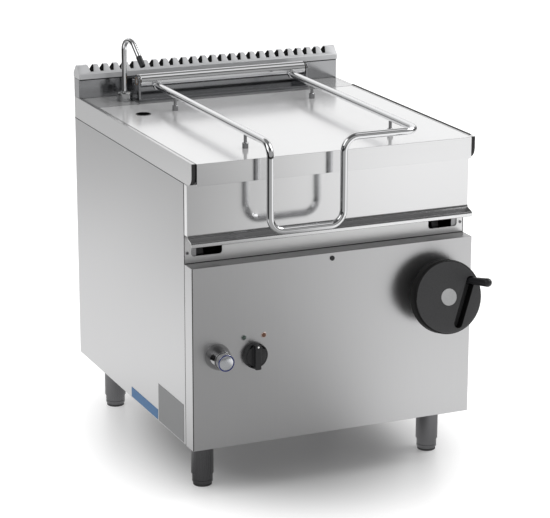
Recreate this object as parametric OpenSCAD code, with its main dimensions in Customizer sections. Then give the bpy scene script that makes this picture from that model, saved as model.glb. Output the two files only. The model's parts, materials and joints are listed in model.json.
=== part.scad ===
// Tilting bratt pan: a cabinet on four legs, a lidded pan that tips forward over a pouring
// lip, and a handwheel with a screw spindle that tips it. X runs along the front, Y to the
// rear and Z up. Sizes are worked out with Y = 0 at the front edge of the side panels, and
// in_frame() then puts the middle of the floor area at the origin.

/* [Cabinet] */
// Width over the side panels
cabinet_w = 800; // [780:5:900]
// Depth of the side panels
side_d = 845; // [840:5:900]
// Height of the worktop above the floor
worktop_h = 900; // [895:1:920]
// Height of the cabinet's underside above the floor
underside_h = 137; // [120:1:150]
// Sheet thickness of panels and covers
sheet = 1.5; // [1:0.1:2]
// How far the front box stands proud of the side panels
front_box_d = 51; // [46:1:54]
// Height of the front box's top edge
front_box_top = 627; // [620:1:629]
// Height of the fascia above the front box
fascia_h = 73; // [64:1:75]
// Width of the two deck side strips
strip_w = 11; // [9:0.5:14]
// Height of the deck side strips
strip_h = 61; // [58:1:61]
// How far the strips reach in front of the side panels
strip_front = 56; // [50:1:60]
// Depth of the rear deck behind the lid
rear_deck_d = 133; // [128:1:136]

/* [Pan] */
// Distance of the tilting axis behind the side panels' front edge
pivot_y = 18; // [17:0.5:20]
// Height of the tilting axis
pivot_h = 618; // [616:1:620]
// Largest tilt of the pan in degrees
tilt_max = 67.5; // [60:0.5:68]
// Width of the pan's rim beside the well
rim_side_w = 40; // [38:1:60]
// Width of the pan's rim behind the well
rim_rear_w = 47; // [46:1:70]
// Height of the well's floor
well_floor_h = 640; // [635:1:660]
// Wall of the well
well_wall = 3; // [2:0.5:4]
// Height of the pan's rim
rim_h = 840; // [838:0.5:841]
// How far the front apron stands proud of the side panels
apron_front = 23; // [20:1:26]
// How far the pouring lip stands proud of the side panels
lip_front = 50; // [46:1:50]
// Height of the pouring lip's lower edge
lip_h = 681; // [680:1:686]
// Height of the outer casing's bottom
casing_h = 600; // [598:1:604]
// Width of the gooseneck arms
arm_w = 20; // [14:1:22]
// Distance of the gooseneck arms from the sides
arm_inset = 60; // [56:1:64]

/* [Lid] */
// Depth of the lid's skirt
lid_skirt = 57; // [54:1:57]
// How far the lid's skirt stands proud of the side panels
lid_front = 60; // [54:1:62]
// Gap between the lid's rear edge and the rear deck
lid_gap = 3; // [3:1:12]
// Diameter of the fill hole
fill_d = 36; // [28:1:40]
// Diameter of the handle tube
bar_d = 19; // [16:0.5:21]
// Wall of the handle tube
bar_wall = 1.5; // [1:0.1:2]
// Distance of the handle's bars from the sides
bar_inset = 193; // [186:1:206]
// Height of the bars' middle above the lid
bar_rise = 44; // [40:1:50]
// How far the handle stands proud of the side panels
handle_front = 104; // [98:1:112]
// Height of the handle's lower run
handle_low_h = 717; // [712:1:740]
// Diameter of the hinge tube
hinge_d = 37; // [33:0.5:38]

/* [Handwheel] */
// Radius of the handwheel
wheel_r = 98.5; // [90:0.5:100]
// Depth of the handwheel's rim
wheel_depth = 36; // [34:1:40]
// Lean of the handwheel's axis above the level, in degrees
wheel_lean = 12; // [10:0.5:13]
// Distance of the handwheel's axis from the right side
wheel_inset = 104; // [102:0.5:105]
// How far the face's middle stands proud of the side panels
wheel_front = 125; // [120:1:130]
// Height of the face's middle
wheel_h = 490.8; // [486:0.1:492]
// Radius of the folding crank grip
grip_r = 11.5; // [9:0.5:11.5]
// Length of the crank grip from its pin to the middle of its round end
grip_l = 106; // [90:1:106]
// Radius of the screw spindle
spindle_r = 11; // [10:0.5:11]
// Pitch of the spindle's thread
thread_pitch = 18; // [17.5:0.1:18.2]
// Turns of the handwheel over the whole tilt
wheel_turns = 9; // [8:0.5:9]

/* [Controls] */
// Distance of the push tap's axis from the left side
tap_inset = 68.5; // [60:0.5:75]
// Height of the push tap's axis
tap_h = 387; // [380:0.5:400]
// Distance of the knob's axis from the left side
knob_inset = 171; // [165:1:180]
// Height of the knob's axis
knob_h = 378; // [370:0.5:384]
// Diameter of the knob
knob_d = 67; // [58:1:68]
// Travel of the push tap's button
button_travel = 8; // [4:0.5:9]
// Height of the two lamps
lamp_h = 428.5; // [424:0.5:445]
// Distance of the green lamp from the left side
green_inset = 142; // [138:1:150]
// Distance of the orange lamp from the left side
orange_inset = 198; // [190:1:205]
// Distance of the panel lock from the left side
lock_inset = 391; // [380:1:420]
// Height of the panel lock
lock_h = 612.5; // [606:0.5:614]

/* [Water spout] */
// Distance of the spout's riser from the left side
spout_inset = 110; // [104:1:112]
// Distance of the spout's riser from the flue
spout_back = 72; // [63:1:74]
// Diameter of the spout's tube
spout_d = 15; // [12:0.5:15]
// Bend radius of the spout's gooseneck
spout_bend_r = 33; // [33:1:36]
// Height of the bend's centre above the deck
spout_rise = 142.5; // [142:0.5:150]
// Turn of the spout at rest away from straight ahead, in degrees
spout_yaw = 10; // [8:0.5:11]

/* [Legs] */
// Outer radius of a leg's fixed sleeve
sleeve_r = 30; // [26:0.5:32]
// Length of a leg's fixed sleeve
sleeve_l = 104; // [80:1:106]
// Wall of the sleeve
sleeve_wall = 2.5; // [2:0.5:3]
// Distance of the leg's axis from the side
leg_inset_x = 67; // [60:1:80]
// Place of the front legs' axes
leg_front_y = 55; // [45:1:70]
// Distance of the rear legs' axes from the rear
leg_rear_inset = 110; // [85:1:130]

/* [Hidden] */
$fn = 48;

STEEL = [0.78, 0.79, 0.8];
BRIGHT = [0.9, 0.91, 0.93];
DARK = [0.12, 0.12, 0.13];

over = 1;
seam = 0.3;
fit = 0.05;
snug = 0.02;
half_w = cabinet_w / 2;
panel_in = half_w - sheet;
strip_in = half_w - strip_w;
arm_x = half_w - arm_inset;
bar_x = half_w - bar_inset;
wheel_x = half_w - wheel_inset;
strip_bottom = worktop_h - strip_h;
side_top = strip_bottom - seam;
pan_gap = 4;
fascia_top = front_box_top + fascia_h;
rim_half = strip_in - pan_gap;
rim_t = 4;
casing_step = 7;
casing_half = rim_half - casing_step;
casing_wall = 2;
well_front = 8;
well_half = rim_half - rim_side_w;
well_corner_r = 50;
apron_top = strip_bottom - over;
lip_slope_h = 28;
apron_low_h = lip_h + lip_slope_h;
lip_edge_h = 12;
lid_low_h = worktop_h - lid_skirt;
lid_half = strip_in - sheet;
flue_d = 42;
flue_front = side_d - flue_d;
deck_front = flue_front - rear_deck_d;
lid_rear = deck_front - lid_gap;
pan_inset = 22;
pan_rear = lid_rear - pan_inset;
well_rear = pan_rear - rim_rear_w;
spout_y = flue_front - spout_back;
hinge_back = 48;
hinge_y = lid_rear + hinge_back;
hinge_r = hinge_d / 2;
hinge_rise = 56;
hinge_h = worktop_h + hinge_rise;
end_t = 6;
end_gap = 2;
housing_inset = 140;
housing_half = half_w - housing_inset;
hinge_half = housing_half - end_t - end_gap;
bracket_side = 6.5;
bracket_half = housing_half + bracket_side;
notch_gap = 2;
housing_back = 37;
housing_rear = hinge_y + housing_back;
bracket_back = 4;
bracket_rear = housing_rear + bracket_back;
bar_r = bar_d / 2;
bar_h = worktop_h + bar_rise;
loop_offset = 3;
bend_r = 38;
spout_r = spout_d / 2;
spout_turn = 138;
spout_straight = 36;
nozzle_l = 32.5;
nozzle_r = 8.2;
wheel_cap_r = 22.5;
crank_x = 68;
crank_v = 36;
groove_turn = 23;
crank_sink = 13.5;
flue_cap_step = 5;
flue_cap_rear = side_d + flue_cap_step;

front_end = -wheel_front + crank_v * sin(wheel_lean) - (grip_l - crank_sink) * cos(wheel_lean) - grip_r;
frame_shift = -(front_end + flue_cap_rear) / 2;

module in_frame() translate([0, frame_shift, 0]) children();

// A box between two corners
module block(low, high) translate(low) cube(high - low);

// A flat outline in Y and Z, extruded along X
module along_x(x0, x1) translate([x0, 0, 0]) rotate([90, 0, 90]) linear_extrude(x1 - x0) children();

// A flat outline in X and Z, extruded along Y
module along_y(y0, y1) translate([0, y1, 0]) rotate([90, 0, 0]) linear_extrude(y1 - y0) children();

module rod_x(x0, x1, y, z, r) translate([x0, y, z]) rotate([0, 90, 0]) cylinder(h = x1 - x0, r = r);
module rod_y(y0, y1, x, z, r) translate([x, y1, z]) rotate([90, 0, 0]) cylinder(h = y1 - y0, r = r);
module rod_z(z0, z1, x, y, r) translate([x, y, z0]) cylinder(h = z1 - z0, r = r);

// A rectangle with round corners, made of two bars and four discs
module round_rect(low, high, r) {
    translate([low[0] + r, low[1]]) square([high[0] - low[0] - 2 * r, high[1] - low[1]]);
    translate([low[0], low[1] + r]) square([high[0] - low[0], high[1] - low[1] - 2 * r]);
    for (x = [low[0] + r, high[0] - r], y = [low[1] + r, high[1] - r])
        translate([x, y]) circle(r);
}

module ring(r, wall) {
    difference() {
        circle(r);
        circle(r - wall);
    }
}

// A straight length of tube between two points
module straight(a, b, r, wall) {
    d = b - a;
    l = norm(d);
    translate(a) rotate([0, acos(d[2] / l), atan2(d[1], d[0])]) linear_extrude(l) ring(r, wall);
}

// A bend at corner b between the points a and c
module elbow(a, b, c, bend, r, wall) {
    into = (b - a) / norm(b - a);
    out = (c - b) / norm(c - b);
    turn = acos(into * out);
    start = b - into * bend * tan(turn / 2);
    side = out - into * (into * out);
    x = -side / norm(side);
    z = cross(x, into);
    o = start - x * bend;
    multmatrix([[x[0], into[0], z[0], o[0]], [x[1], into[1], z[1], o[1]], [x[2], into[2], z[2], o[2]]])
        rotate_extrude(angle = turn) translate([bend, 0]) ring(r, wall);
}

function along(a, b, d) = a + (b - a) / norm(b - a) * d;
function cut_back(a, b, c, bend) =
    bend * tan(acos((b - a) / norm(b - a) * (c - b) / norm(c - b)) / 2);

// A tube that follows corner points, with the same bend at each
module bent_tube(p, bend, r, wall) {
    n = len(p) - 1;
    for (i = [0 : n - 1]) {
        a = i == 0 ? p[0] : along(p[i], p[i + 1], cut_back(p[i - 1], p[i], p[i + 1], bend));
        b = i == n - 1 ? p[n] : along(p[i + 1], p[i], cut_back(p[i], p[i + 1], p[i + 2], bend));
        straight(a, b, r, wall);
    }
    for (i = [1 : n - 1])
        elbow(p[i - 1], p[i], p[i + 1], bend, r, wall);
}

// Cabinet panels
side_flange = 18;

module side_panel(s) {
    in_frame() mirror([s < 0 ? 1 : 0, 0, 0]) {
        block([panel_in, 0, underside_h], [half_w, side_d, side_top]);
        block([half_w - side_flange, 0, underside_h + sheet + seam], [panel_in, sheet, front_box_top]);
    }
}

module left_side_panel() {
    color(STEEL) side_panel(-1);
}

module right_side_panel() {
    color(STEEL) side_panel(1);
}

module back_panel() {
    color(STEEL) in_frame()
        block([-panel_in + seam, side_d - sheet, underside_h + sheet + seam],
            [panel_in - seam, side_d, side_top]);
}

inlet_inset = 200;
inlet_x = inlet_inset - half_w;
inlet_back = 55;
inlet_y = side_d - inlet_back;
inlet_pitch = 80;
gland_x = inlet_x + inlet_pitch;
gland_r = 12;
inlet_r = 10.5;
bush_wall = 3;

module bottom_tray() {
    color(STEEL) in_frame() difference() {
        block([-panel_in + seam, 0, underside_h], [panel_in - seam, side_d, underside_h + sheet]);
        for (p = [[inlet_x, inlet_r + bush_wall], [gland_x, gland_r + bush_wall]])
            rod_z(underside_h - over, underside_h + sheet + over, p[0], inlet_y, p[1] + fit);
    }
}

// Front box with its face, open to the rear
tap_x = tap_inset - half_w;
knob_x = knob_inset - half_w;
green_x = green_inset - half_w;
orange_x = orange_inset - half_w;
lock_x = lock_inset - half_w;
tap_stem_r = 13;
knob_stem_r = 3;
lamp_r = 6;
lock_r = 6.5;
stem_gap = 1;
spindle_hole_gap = 2;

module front_panel() {
    face = -front_box_d;
    color(STEEL) in_frame() difference() {
        block([-half_w, face, underside_h - seam], [half_w, -seam, front_box_top]);
        block([-panel_in, face + sheet, underside_h - seam + sheet],
            [panel_in, over, front_box_top - sheet]);
        rod_y(face - over, face + sheet + over, tap_x, tap_h, tap_stem_r + fit);
        rod_y(face - over, face + sheet + over, knob_x, knob_h, knob_stem_r + stem_gap);
        for (x = [green_x, orange_x])
            rod_y(face - over, face + sheet + over, x, lamp_h, lamp_r + fit);
        rod_y(face - over, face + sheet + over, lock_x, lock_h, lock_r / 2);
        wheel_frame() translate([0, 0, -wheel_front])
            cylinder(h = wheel_front, r = spindle_r + spindle_hole_gap);
    }
}

// Panel lock: a slotted quarter-turn plug with a round head
lock_stand = 2;
lock_slot = 1.6;
lock_l = 12;
lock_cam = 18;

module panel_lock() {
    face = -front_box_d;
    stem = lock_r / 2 - fit;
    color(BRIGHT) in_frame() difference() {
        union() {
            rod_y(face - lock_stand, face - fit, lock_x, lock_h, lock_r);
            rod_y(face - lock_stand, face + lock_l, lock_x, lock_h, stem);
            block([lock_x - stem, face + lock_l - sheet, lock_h - lock_cam + lock_r],
                [lock_x + stem, face + lock_l, lock_h]);
        }
        block([lock_x - lock_r, face - lock_stand - over, lock_h - lock_slot / 2],
            [lock_x + lock_r, face - lock_stand / 2, lock_h + lock_slot / 2]);
    }
}

// Fascia strip with a slot for each gooseneck arm, held by a screw at each end
screw_inset = 8.5;
screw_x = half_w - screw_inset;
screw_up = 28;
screw_h = front_box_top + screw_up;
screw_r = 2;
screw_head_r = 4;
screw_head_t = 2;
screw_l = 9;
slot_inset = 19;
slot_w = 85;
slot_out = half_w - slot_inset;
slot_in = slot_out - slot_w;
slot_up = 18;
slot_h = front_box_top + slot_up;
slot_corner_r = 8;

module fascia_panel() {
    low = front_box_top + seam;
    color(STEEL) in_frame() along_y(0, sheet) difference() {
        translate([-panel_in + seam, low]) square([2 * (panel_in - seam), fascia_top - low]);
        for (s = [-1, 1])
            translate([s > 0 ? slot_in : -slot_out, slot_h])
                round_rect([0, 0], [slot_out - slot_in, fascia_top], slot_corner_r);
        for (s = [-1, 1])
            translate([s * screw_x, screw_h]) circle(screw_r + fit);
    }
}

module fascia_screws() {
    color(BRIGHT) in_frame() for (s = [-1, 1]) {
        rod_y(-screw_head_t, 0, s * screw_x, screw_h, screw_head_r);
        rod_y(-screw_head_t, screw_l, s * screw_x, screw_h, screw_r);
    }
}

// Side strips of the deck: folded channels, open below, with a round lower front corner
strip_round_r = 30;

module strip_outline(wall) {
    low = strip_bottom - (wall > 0 ? over : 0);
    y0 = wall - strip_front;
    polygon(concat([[side_d - wall, low], [side_d - wall, worktop_h - wall], [y0, worktop_h - wall]],
        [for (a = [0 : 15 : 90])
            [y0 + strip_round_r * (1 - cos(a)), low + strip_round_r * (1 - sin(a))]]));
}

module deck_side_strips() {
    color(STEEL) in_frame() for (s = [0, 1]) mirror([s, 0, 0]) difference() {
        along_x(strip_in, half_w) strip_outline(0);
        along_x(strip_in + sheet, half_w - sheet) strip_outline(sheet);
    }
}

// Rear deck with the notch that the lid hinge tips out of
spout_x = spout_inset - half_w;
deck_flange = 30;

module rear_deck() {
    half = strip_in - seam;
    notch = bracket_half + notch_gap;
    top = worktop_h;
    color(STEEL) in_frame() difference() {
        union() {
            block([-half, deck_front, top - sheet], [half, flue_front - seam, top]);
            block([-half, deck_front, top - deck_flange], [half, deck_front + sheet, top]);
        }
        block([-notch, deck_front - over, top - deck_flange - over],
            [notch, bracket_rear + notch_gap, top + over]);
        rod_z(top - sheet - over, top + over, spout_x, spout_y, inlet_r + fit);
    }
}

// Flue: an upstand behind the deck and a cap with trapezoid notches along its ridge
flue_h = 55;
flue_seam_h = worktop_h + flue_h;
cap_side_h = 14;
flue_slant_low = flue_seam_h + cap_side_h;
cap_h = 37;
flue_top = flue_seam_h + cap_h;
ridge_w = 13;
ridge_front_y = flue_front + ridge_w;
ridge_rear_y = ridge_front_y + ridge_w;
flue_notches = 25;
notch_inset = 40;
notch_pitch = (cabinet_w - 2 * notch_inset) / (flue_notches - 1);
notch_low_w = 9;
notch_top_w = 18;
notch_depth = 17;
notch_low_h = flue_top - notch_depth;

module flue_upstand() {
    color(STEEL) in_frame() {
        difference() {
            block([-half_w, flue_front, worktop_h + seam], [half_w, side_d, flue_seam_h - seam]);
            block([-panel_in, flue_front + sheet, worktop_h - over],
                [panel_in, side_d - sheet, flue_seam_h + over]);
        }
        block([-strip_in + seam, side_d - sheet, strip_bottom],
            [strip_in - seam, side_d, flue_seam_h - seam]);
    }
}

module cap_outline(wall) {
    low = flue_seam_h - (wall > 0 ? over : 0);
    front = flue_front - flue_cap_step + wall;
    rear = flue_cap_rear - wall;
    polygon([[front, low], [front, flue_slant_low], [ridge_front_y + wall / 2, flue_top - wall],
        [ridge_rear_y - wall / 2, flue_top - wall], [rear, flue_slant_low], [rear, low]]);
}

module flue_cap() {
    color(STEEL) in_frame() difference() {
        along_x(-half_w, half_w) cap_outline(0);
        along_x(-panel_in, panel_in) cap_outline(sheet);
        for (i = [0 : flue_notches - 1])
            translate([(i - (flue_notches - 1) / 2) * notch_pitch, 0, 0])
                along_y(flue_front - flue_cap_step - over, flue_cap_rear + over)
                    polygon([[-notch_low_w / 2, notch_low_h], [notch_low_w / 2, notch_low_h],
                        [notch_top_w / 2, flue_top + over], [-notch_top_w / 2, flue_top + over]]);
    }
}

// Frame inside the cabinet; two blocks on the rear beam carry the pan at rest
post_w = 32;
post_t = 3;
post_front_y = 3;
post_drop = 20;
post_front_top = fascia_top - post_drop;
beam_t = 2.5;
beam_front = [5, 35];
beam_front_z = [340, 380];
beam_w = 40;
beam_back = 245;
beam_rear = [side_d - beam_back, side_d - beam_back + beam_w];
beam_rear_z = [545, 585];

// An angle-section post with its corner outwards
module corner_post(top) {
    difference() {
        block([0, 0, underside_h + sheet], [post_w, post_w, top]);
        block([-over, post_t, 0], [post_w - post_t, post_w + over, top + over]);
    }
}

module corner_posts() {
    x = panel_in - seam - post_w;
    color(STEEL) in_frame() for (s = [0, 1]) mirror([s, 0, 0]) {
        difference() {
            translate([x, post_front_y, 0]) corner_post(post_front_top);
            rod_y(0, post_w, screw_x, screw_h, screw_r + fit);
        }
        translate([x, side_d - sheet - seam, 0]) mirror([0, 1, 0]) corner_post(side_top);
    }
}

module box_beam(y, z, half) {
    difference() {
        block([-half, y[0], z[0]], [half, y[1], z[1]]);
        block([-half - over, y[0] + beam_t, z[0] + beam_t], [half + over, y[1] - beam_t, z[1] - beam_t]);
    }
}

rest_inset = 150;
rest_x = half_w - rest_inset;
rest_w = 40;

module cross_beams() {
    color(STEEL) in_frame() {
        box_beam(beam_front, beam_front_z, panel_in - seam - post_w - seam);
        box_beam(beam_rear, beam_rear_z, panel_in - seam);
        for (s = [-1, 1])
            block([s * rest_x - rest_w / 2, beam_rear[0], beam_rear_z[1]],
                [s * rest_x + rest_w / 2, beam_rear[1], casing_h - seam]);
    }
}

// Pivot of the pan: a fork of two plates, a fixed pin, and a bush in the arm
bracket_t = 4;
bracket_gap = 2;
bracket_reach = 14;
pin_r = 7;
bush_r = 10;
hub_r = 13;

module pivot_brackets() {
    inner = arm_w / 2 + bracket_gap;
    color(STEEL) in_frame() for (s = [-1, 1], t = [-inner - bracket_t, inner])
        difference() {
            union() {
                block([s * arm_x + t, pivot_y - bracket_reach, beam_front_z[1]],
                    [s * arm_x + t + bracket_t, pivot_y + bracket_reach, pivot_h]);
                rod_x(s * arm_x + t, s * arm_x + t + bracket_t, pivot_y, pivot_h, bracket_reach);
            }
            rod_x(s * arm_x + t - over, s * arm_x + t + bracket_t + over, pivot_y, pivot_h, pin_r + fit);
        }
}

module pivot_pins() {
    reach = arm_w / 2 + bracket_gap + bracket_t + bracket_gap;
    color(BRIGHT) in_frame() for (s = [-1, 1])
        rod_x(s * arm_x - reach, s * arm_x + reach, pivot_y, pivot_h, pin_r);
}

module bush(x0, x1, y, z, r, bore) {
    difference() {
        rod_x(x0, x1, y, z, r);
        rod_x(x0 - over, x1 + over, y, z, bore);
    }
}

// Bushes of the two gooseneck arms and of the lid's hinge
module bronze_bushes() {
    color("goldenrod") in_frame() for (s = [0, 1]) mirror([s, 0, 0]) {
        bush(arm_x - arm_w / 2, arm_x + arm_w / 2, pivot_y, pivot_h, bush_r, pin_r + fit);
        bush(housing_half - end_t, housing_half, hinge_y, hinge_h, journal_r + bush_wall, journal_r + fit);
    }
}

// A point at a radius and an angle about the tilting axis, as [y, z]
function about_pivot(r, a) = [pivot_y + r * cos(a), pivot_h + r * sin(a)];

casing_slope_y = 140;
casing_flat_y = 60;
casing_front_drop = 4;

// Height of the underside of the casing's front part at a place y
function casing_under(y) =
    apron_low_h - casing_front_drop * (y + apron_front - sheet) / (casing_flat_y + apron_front - sheet);

// The gooseneck's two edges: each row is a share of the hub's radius and an angle about the axis
arm_rear_shares = [[1, -20], [2.6, 8], [4.6, 26], [5.8, 44]];
arm_front_shares = [[5.4, 66], [4.4, 52], [2.5, 37], [1, 50]];
arm_root_y = 30;

function arm_edge(shares) = [for (p = shares) about_pivot(p[0] * hub_r, p[1])];

module pan_arms() {
    color([0.7, 0.7, 0.7]) in_frame() for (s = [-1, 1]) difference() {
        union() {
            rod_x(s * arm_x - arm_w / 2, s * arm_x + arm_w / 2, pivot_y, pivot_h, hub_r);
            along_x(s * arm_x - arm_w / 2, s * arm_x + arm_w / 2)
                polygon(concat(arm_edge(arm_rear_shares), [[casing_flat_y, casing_under(casing_flat_y)],
                    [arm_root_y, casing_under(arm_root_y)]], arm_edge(arm_front_shares)));
        }
        rod_x(s * arm_x - arm_w, s * arm_x + arm_w, pivot_y, pivot_h, bush_r + fit);
    }
}

// Legs: a fixed sleeve under the tray and an inner tube with a pad that screws in and out
pad_r = 25;
pad_t = 9;
tube_wall = 2.5;
tube_top_h = 100;
sleeve_gap = 0.08;
leg_x_out = half_w - leg_inset_x;
leg_rear_y = side_d - leg_rear_inset;

module leg_sleeves() {
    color(STEEL) in_frame() for (x = [-leg_x_out, leg_x_out], y = [leg_front_y, leg_rear_y]) difference() {
        rod_z(underside_h - sleeve_l, underside_h, x, y, sleeve_r);
        rod_z(underside_h - sleeve_l - over, underside_h - sheet, x, y, sleeve_r - sleeve_wall);
    }
}

module leg(x, y) {
    tube_r = sleeve_r - sleeve_wall - sleeve_gap;
    color(STEEL) in_frame() difference() {
        union() {
            rod_z(pad_t, tube_top_h, x, y, tube_r);
            rod_z(0, pad_t, x, y, pad_r);
        }
        rod_z(2 * pad_t, tube_top_h + over, x, y, tube_r - tube_wall);
    }
}

module leg_front_left() {
    leg(-leg_x_out, leg_front_y);
}

module leg_rear_left() {
    leg(-leg_x_out, leg_rear_y);
}

module leg_front_right() {
    leg(leg_x_out, leg_front_y);
}

module leg_rear_right() {
    leg(leg_x_out, leg_rear_y);
}

// Bare plates on the left side panel
plate_t = 0.6;
plate_y = [14, 198];
plate_z = [140, 244];
label_y = [205, 408];
label_z = [140, 168];

module side_plate(y, z) {
    block([-half_w - plate_t, y[0], z[0]], [-half_w, y[1], z[1]]);
}

// A bare plate and a bare label, side by side on the left panel
module side_plates_blank() {
    color([0.62, 0.63, 0.65]) in_frame() {
        side_plate(plate_y, plate_z);
        side_plate(label_y, label_z);
    }
}

// Lamps: a domed lens with a barrel through the panel
lamp_stand = 4;
lamp_depth = 30;
lamp_flange = 1.5;

module lamp(x) {
    rod_y(-front_box_d - lamp_stand, -front_box_d + lamp_depth, x, lamp_h, lamp_r);
    rod_y(-front_box_d - lamp_flange, -front_box_d, x, lamp_h, lamp_r + lamp_flange);
}

module lamp_green() {
    color([0.2, 0.5, 0.25]) in_frame() lamp(green_x);
}

module lamp_orange() {
    color([0.9, 0.45, 0.15]) in_frame() lamp(orange_x);
}

// Regulator behind the knob
regulator_w = 46;
regulator_d = 34;
regulator_gap = 4;
stem_depth = 22;

module regulator_body() {
    y = -front_box_d + sheet;
    color([0.85, 0.83, 0.75]) in_frame() difference() {
        block([knob_x - regulator_w / 2, y, knob_h - regulator_w / 2],
            [knob_x + regulator_w / 2, y + regulator_d, knob_h + regulator_w / 2]);
        rod_y(y - over, y + stem_depth + regulator_gap, knob_x, knob_h, knob_stem_r + fit);
    }
}

// Knob with a raised grip bar and an index dot
knob_skirt = 12;
knob_out = 29;
knob_grip_w = 16;
knob_stand = 0.5;
knob_body_r = knob_d / 2 - 7;
knob_body_out = 15;

module regulator_knob() {
    y = -front_box_d - knob_stand;
    color(DARK) in_frame() {
        rod_y(y - knob_skirt, y, knob_x, knob_h, knob_d / 2);
        rod_y(y - knob_body_out, y, knob_x, knob_h, knob_body_r);
        intersection() {
            block([knob_x - knob_grip_w / 2, y - knob_out, knob_h - knob_d],
                [knob_x + knob_grip_w / 2, y, knob_h + knob_d]);
            rod_y(y - knob_out, y, knob_x, knob_h, knob_d / 2 - knob_stand);
        }
        rod_y(y - knob_skirt, -front_box_d + sheet + stem_depth, knob_x, knob_h, knob_stem_r);
    }
}

// Push tap: a chromed bell on the panel, a valve behind it, and a button
bell_root_r = 34;
bell_mouth_r = 25;
bell_out = 42;
button_r = 22.5;
button_out = 61;
button_face_r = 19;
button_ring_t = 1.5;
button_l = 24;
valve_d = 38;
valve_half = 20;

// The bell's radius shrinks towards its mouth along a quarter wave
function bell_r(t) = bell_mouth_r + (bell_root_r - bell_mouth_r) * cos(90 * t);

module tap_bell() {
    n = 8;
    color(BRIGHT) in_frame() translate([tap_x, -front_box_d, tap_h]) rotate([90, 0, 0]) difference() {
        union() {
            rotate_extrude() polygon(concat([[0, 0]], [for (i = [0 : n]) [bell_r(i / n), bell_out * i / n]],
                [[0, bell_out]]));
            translate([0, 0, -sheet - seam]) cylinder(h = 2 * sheet, r = tap_stem_r);
        }
        translate([0, 0, bell_out - button_l - button_travel - over])
            cylinder(h = bell_out, r = button_r + seam);
        translate([0, 0, -sheet - over]) cylinder(h = bell_out, r = plunger_r + stem_gap);
    }
}

plunger_r = 5;

module tap_valve_body() {
    y = -front_box_d + sheet;
    color("darkgoldenrod") in_frame() difference() {
        block([tap_x - valve_half, y + seam, tap_h - valve_half],
            [tap_x + valve_half, y + valve_d, tap_h + valve_half]);
        rod_y(y - over, y + plunger_depth + button_travel + over, tap_x, tap_h, plunger_r + fit);
    }
}

plunger_depth = 10;

module tap_button() {
    y = -front_box_d;
    color([0.1, 0.15, 0.4]) in_frame() {
        difference() {
            rod_y(y - button_out, y - bell_out + button_l, tap_x, tap_h, button_r);
            rod_y(y - button_out - over, y - button_out + button_ring_t, tap_x, tap_h, button_face_r);
        }
        rod_y(y - bell_out + button_l, y + sheet + plunger_depth, tap_x, tap_h, plunger_r);
    }
}

// Water pipe from the valve down to the floor of the cabinet, to the rear and up to the spout
pipe_r = 6;
pipe_wall = 0.75;
pipe_bend = 16;
pipe_low_h = 180;
pipe_end_gap = 18;

module water_pipe() {
    y = -front_box_d + sheet + valve_d / 2;
    color("peru") in_frame() bent_tube([[tap_x, y, tap_h - valve_half], [tap_x, y, pipe_low_h],
        [tap_x, spout_y, pipe_low_h], [spout_x, spout_y, pipe_low_h],
            [spout_x, spout_y, worktop_h - pipe_end_gap]],
        pipe_bend, pipe_r, pipe_wall);
}

// Spout base: a round collar on the deck, with a threaded tail below it
base_r = 22;
base_h = 27;
base_cone = 4;

module faucet_base() {
    color(BRIGHT) in_frame() translate([spout_x, spout_y, worktop_h]) difference() {
        union() {
            cylinder(h = base_h - base_cone, r = base_r);
            translate([0, 0, base_h - base_cone])
                cylinder(h = base_cone, r1 = base_r, r2 = base_r - base_cone);
            translate([0, 0, -pipe_end_gap]) cylinder(h = pipe_end_gap, r = inlet_r);
        }
        translate([0, 0, base_cone]) cylinder(h = base_h, r = spout_r + fit);
        translate([0, 0, -pipe_end_gap - over]) cylinder(h = pipe_end_gap + base_h, r = pipe_r - pipe_wall);
    }
}

// Swivelling spout with a gooseneck

module spout_frame() {
    translate([spout_x, spout_y, worktop_h]) rotate([0, 0, spout_yaw - 90]) children();
}

// The gooseneck's end on its bend, as reach and height, and the corner that its bend rounds
spout_end_reach = spout_bend_r * (1 - cos(spout_turn));
spout_end_h = spout_rise + spout_bend_r * sin(spout_turn);
spout_corner = spout_bend_r * tan(spout_turn / 2);
fall_angle = spout_turn - 90;

// A short sleeve inside the tube backs the joint of the bend and the straight end
spout_sleeve_l = 4;

module water_spout() {
    reach = spout_corner + spout_straight;
    color(BRIGHT) in_frame() spout_frame() {
        translate([spout_end_reach, 0, spout_end_h]) rotate([0, 90 + fall_angle, 0])
            translate([0, 0, -spout_sleeve_l / 2]) linear_extrude(spout_sleeve_l)
                ring(spout_r - sheet / 2, sheet);
        bent_tube([[0, 0, base_cone + fit], [0, 0, spout_rise + spout_corner],
            [reach * cos(fall_angle), 0, spout_rise + spout_corner - reach * sin(fall_angle)]],
            spout_bend_r, spout_r, sheet);
    }
}

module spout_nozzle() {
    color(DARK) in_frame() spout_frame() translate([spout_end_reach, 0, spout_end_h])
        rotate([0, 90 + fall_angle, 0]) translate([0, 0, spout_straight]) difference() {
            cylinder(h = nozzle_l, r = nozzle_r);
            translate([0, 0, -over]) cylinder(h = nozzle_l + 2 * over, r = spout_r - sheet);
        }
}

// Water inlet and cable gland under the tray, and the electrical unit on it
inlet_l = 24;
gland_l = 22;
gland_bore_r = 8;

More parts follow.
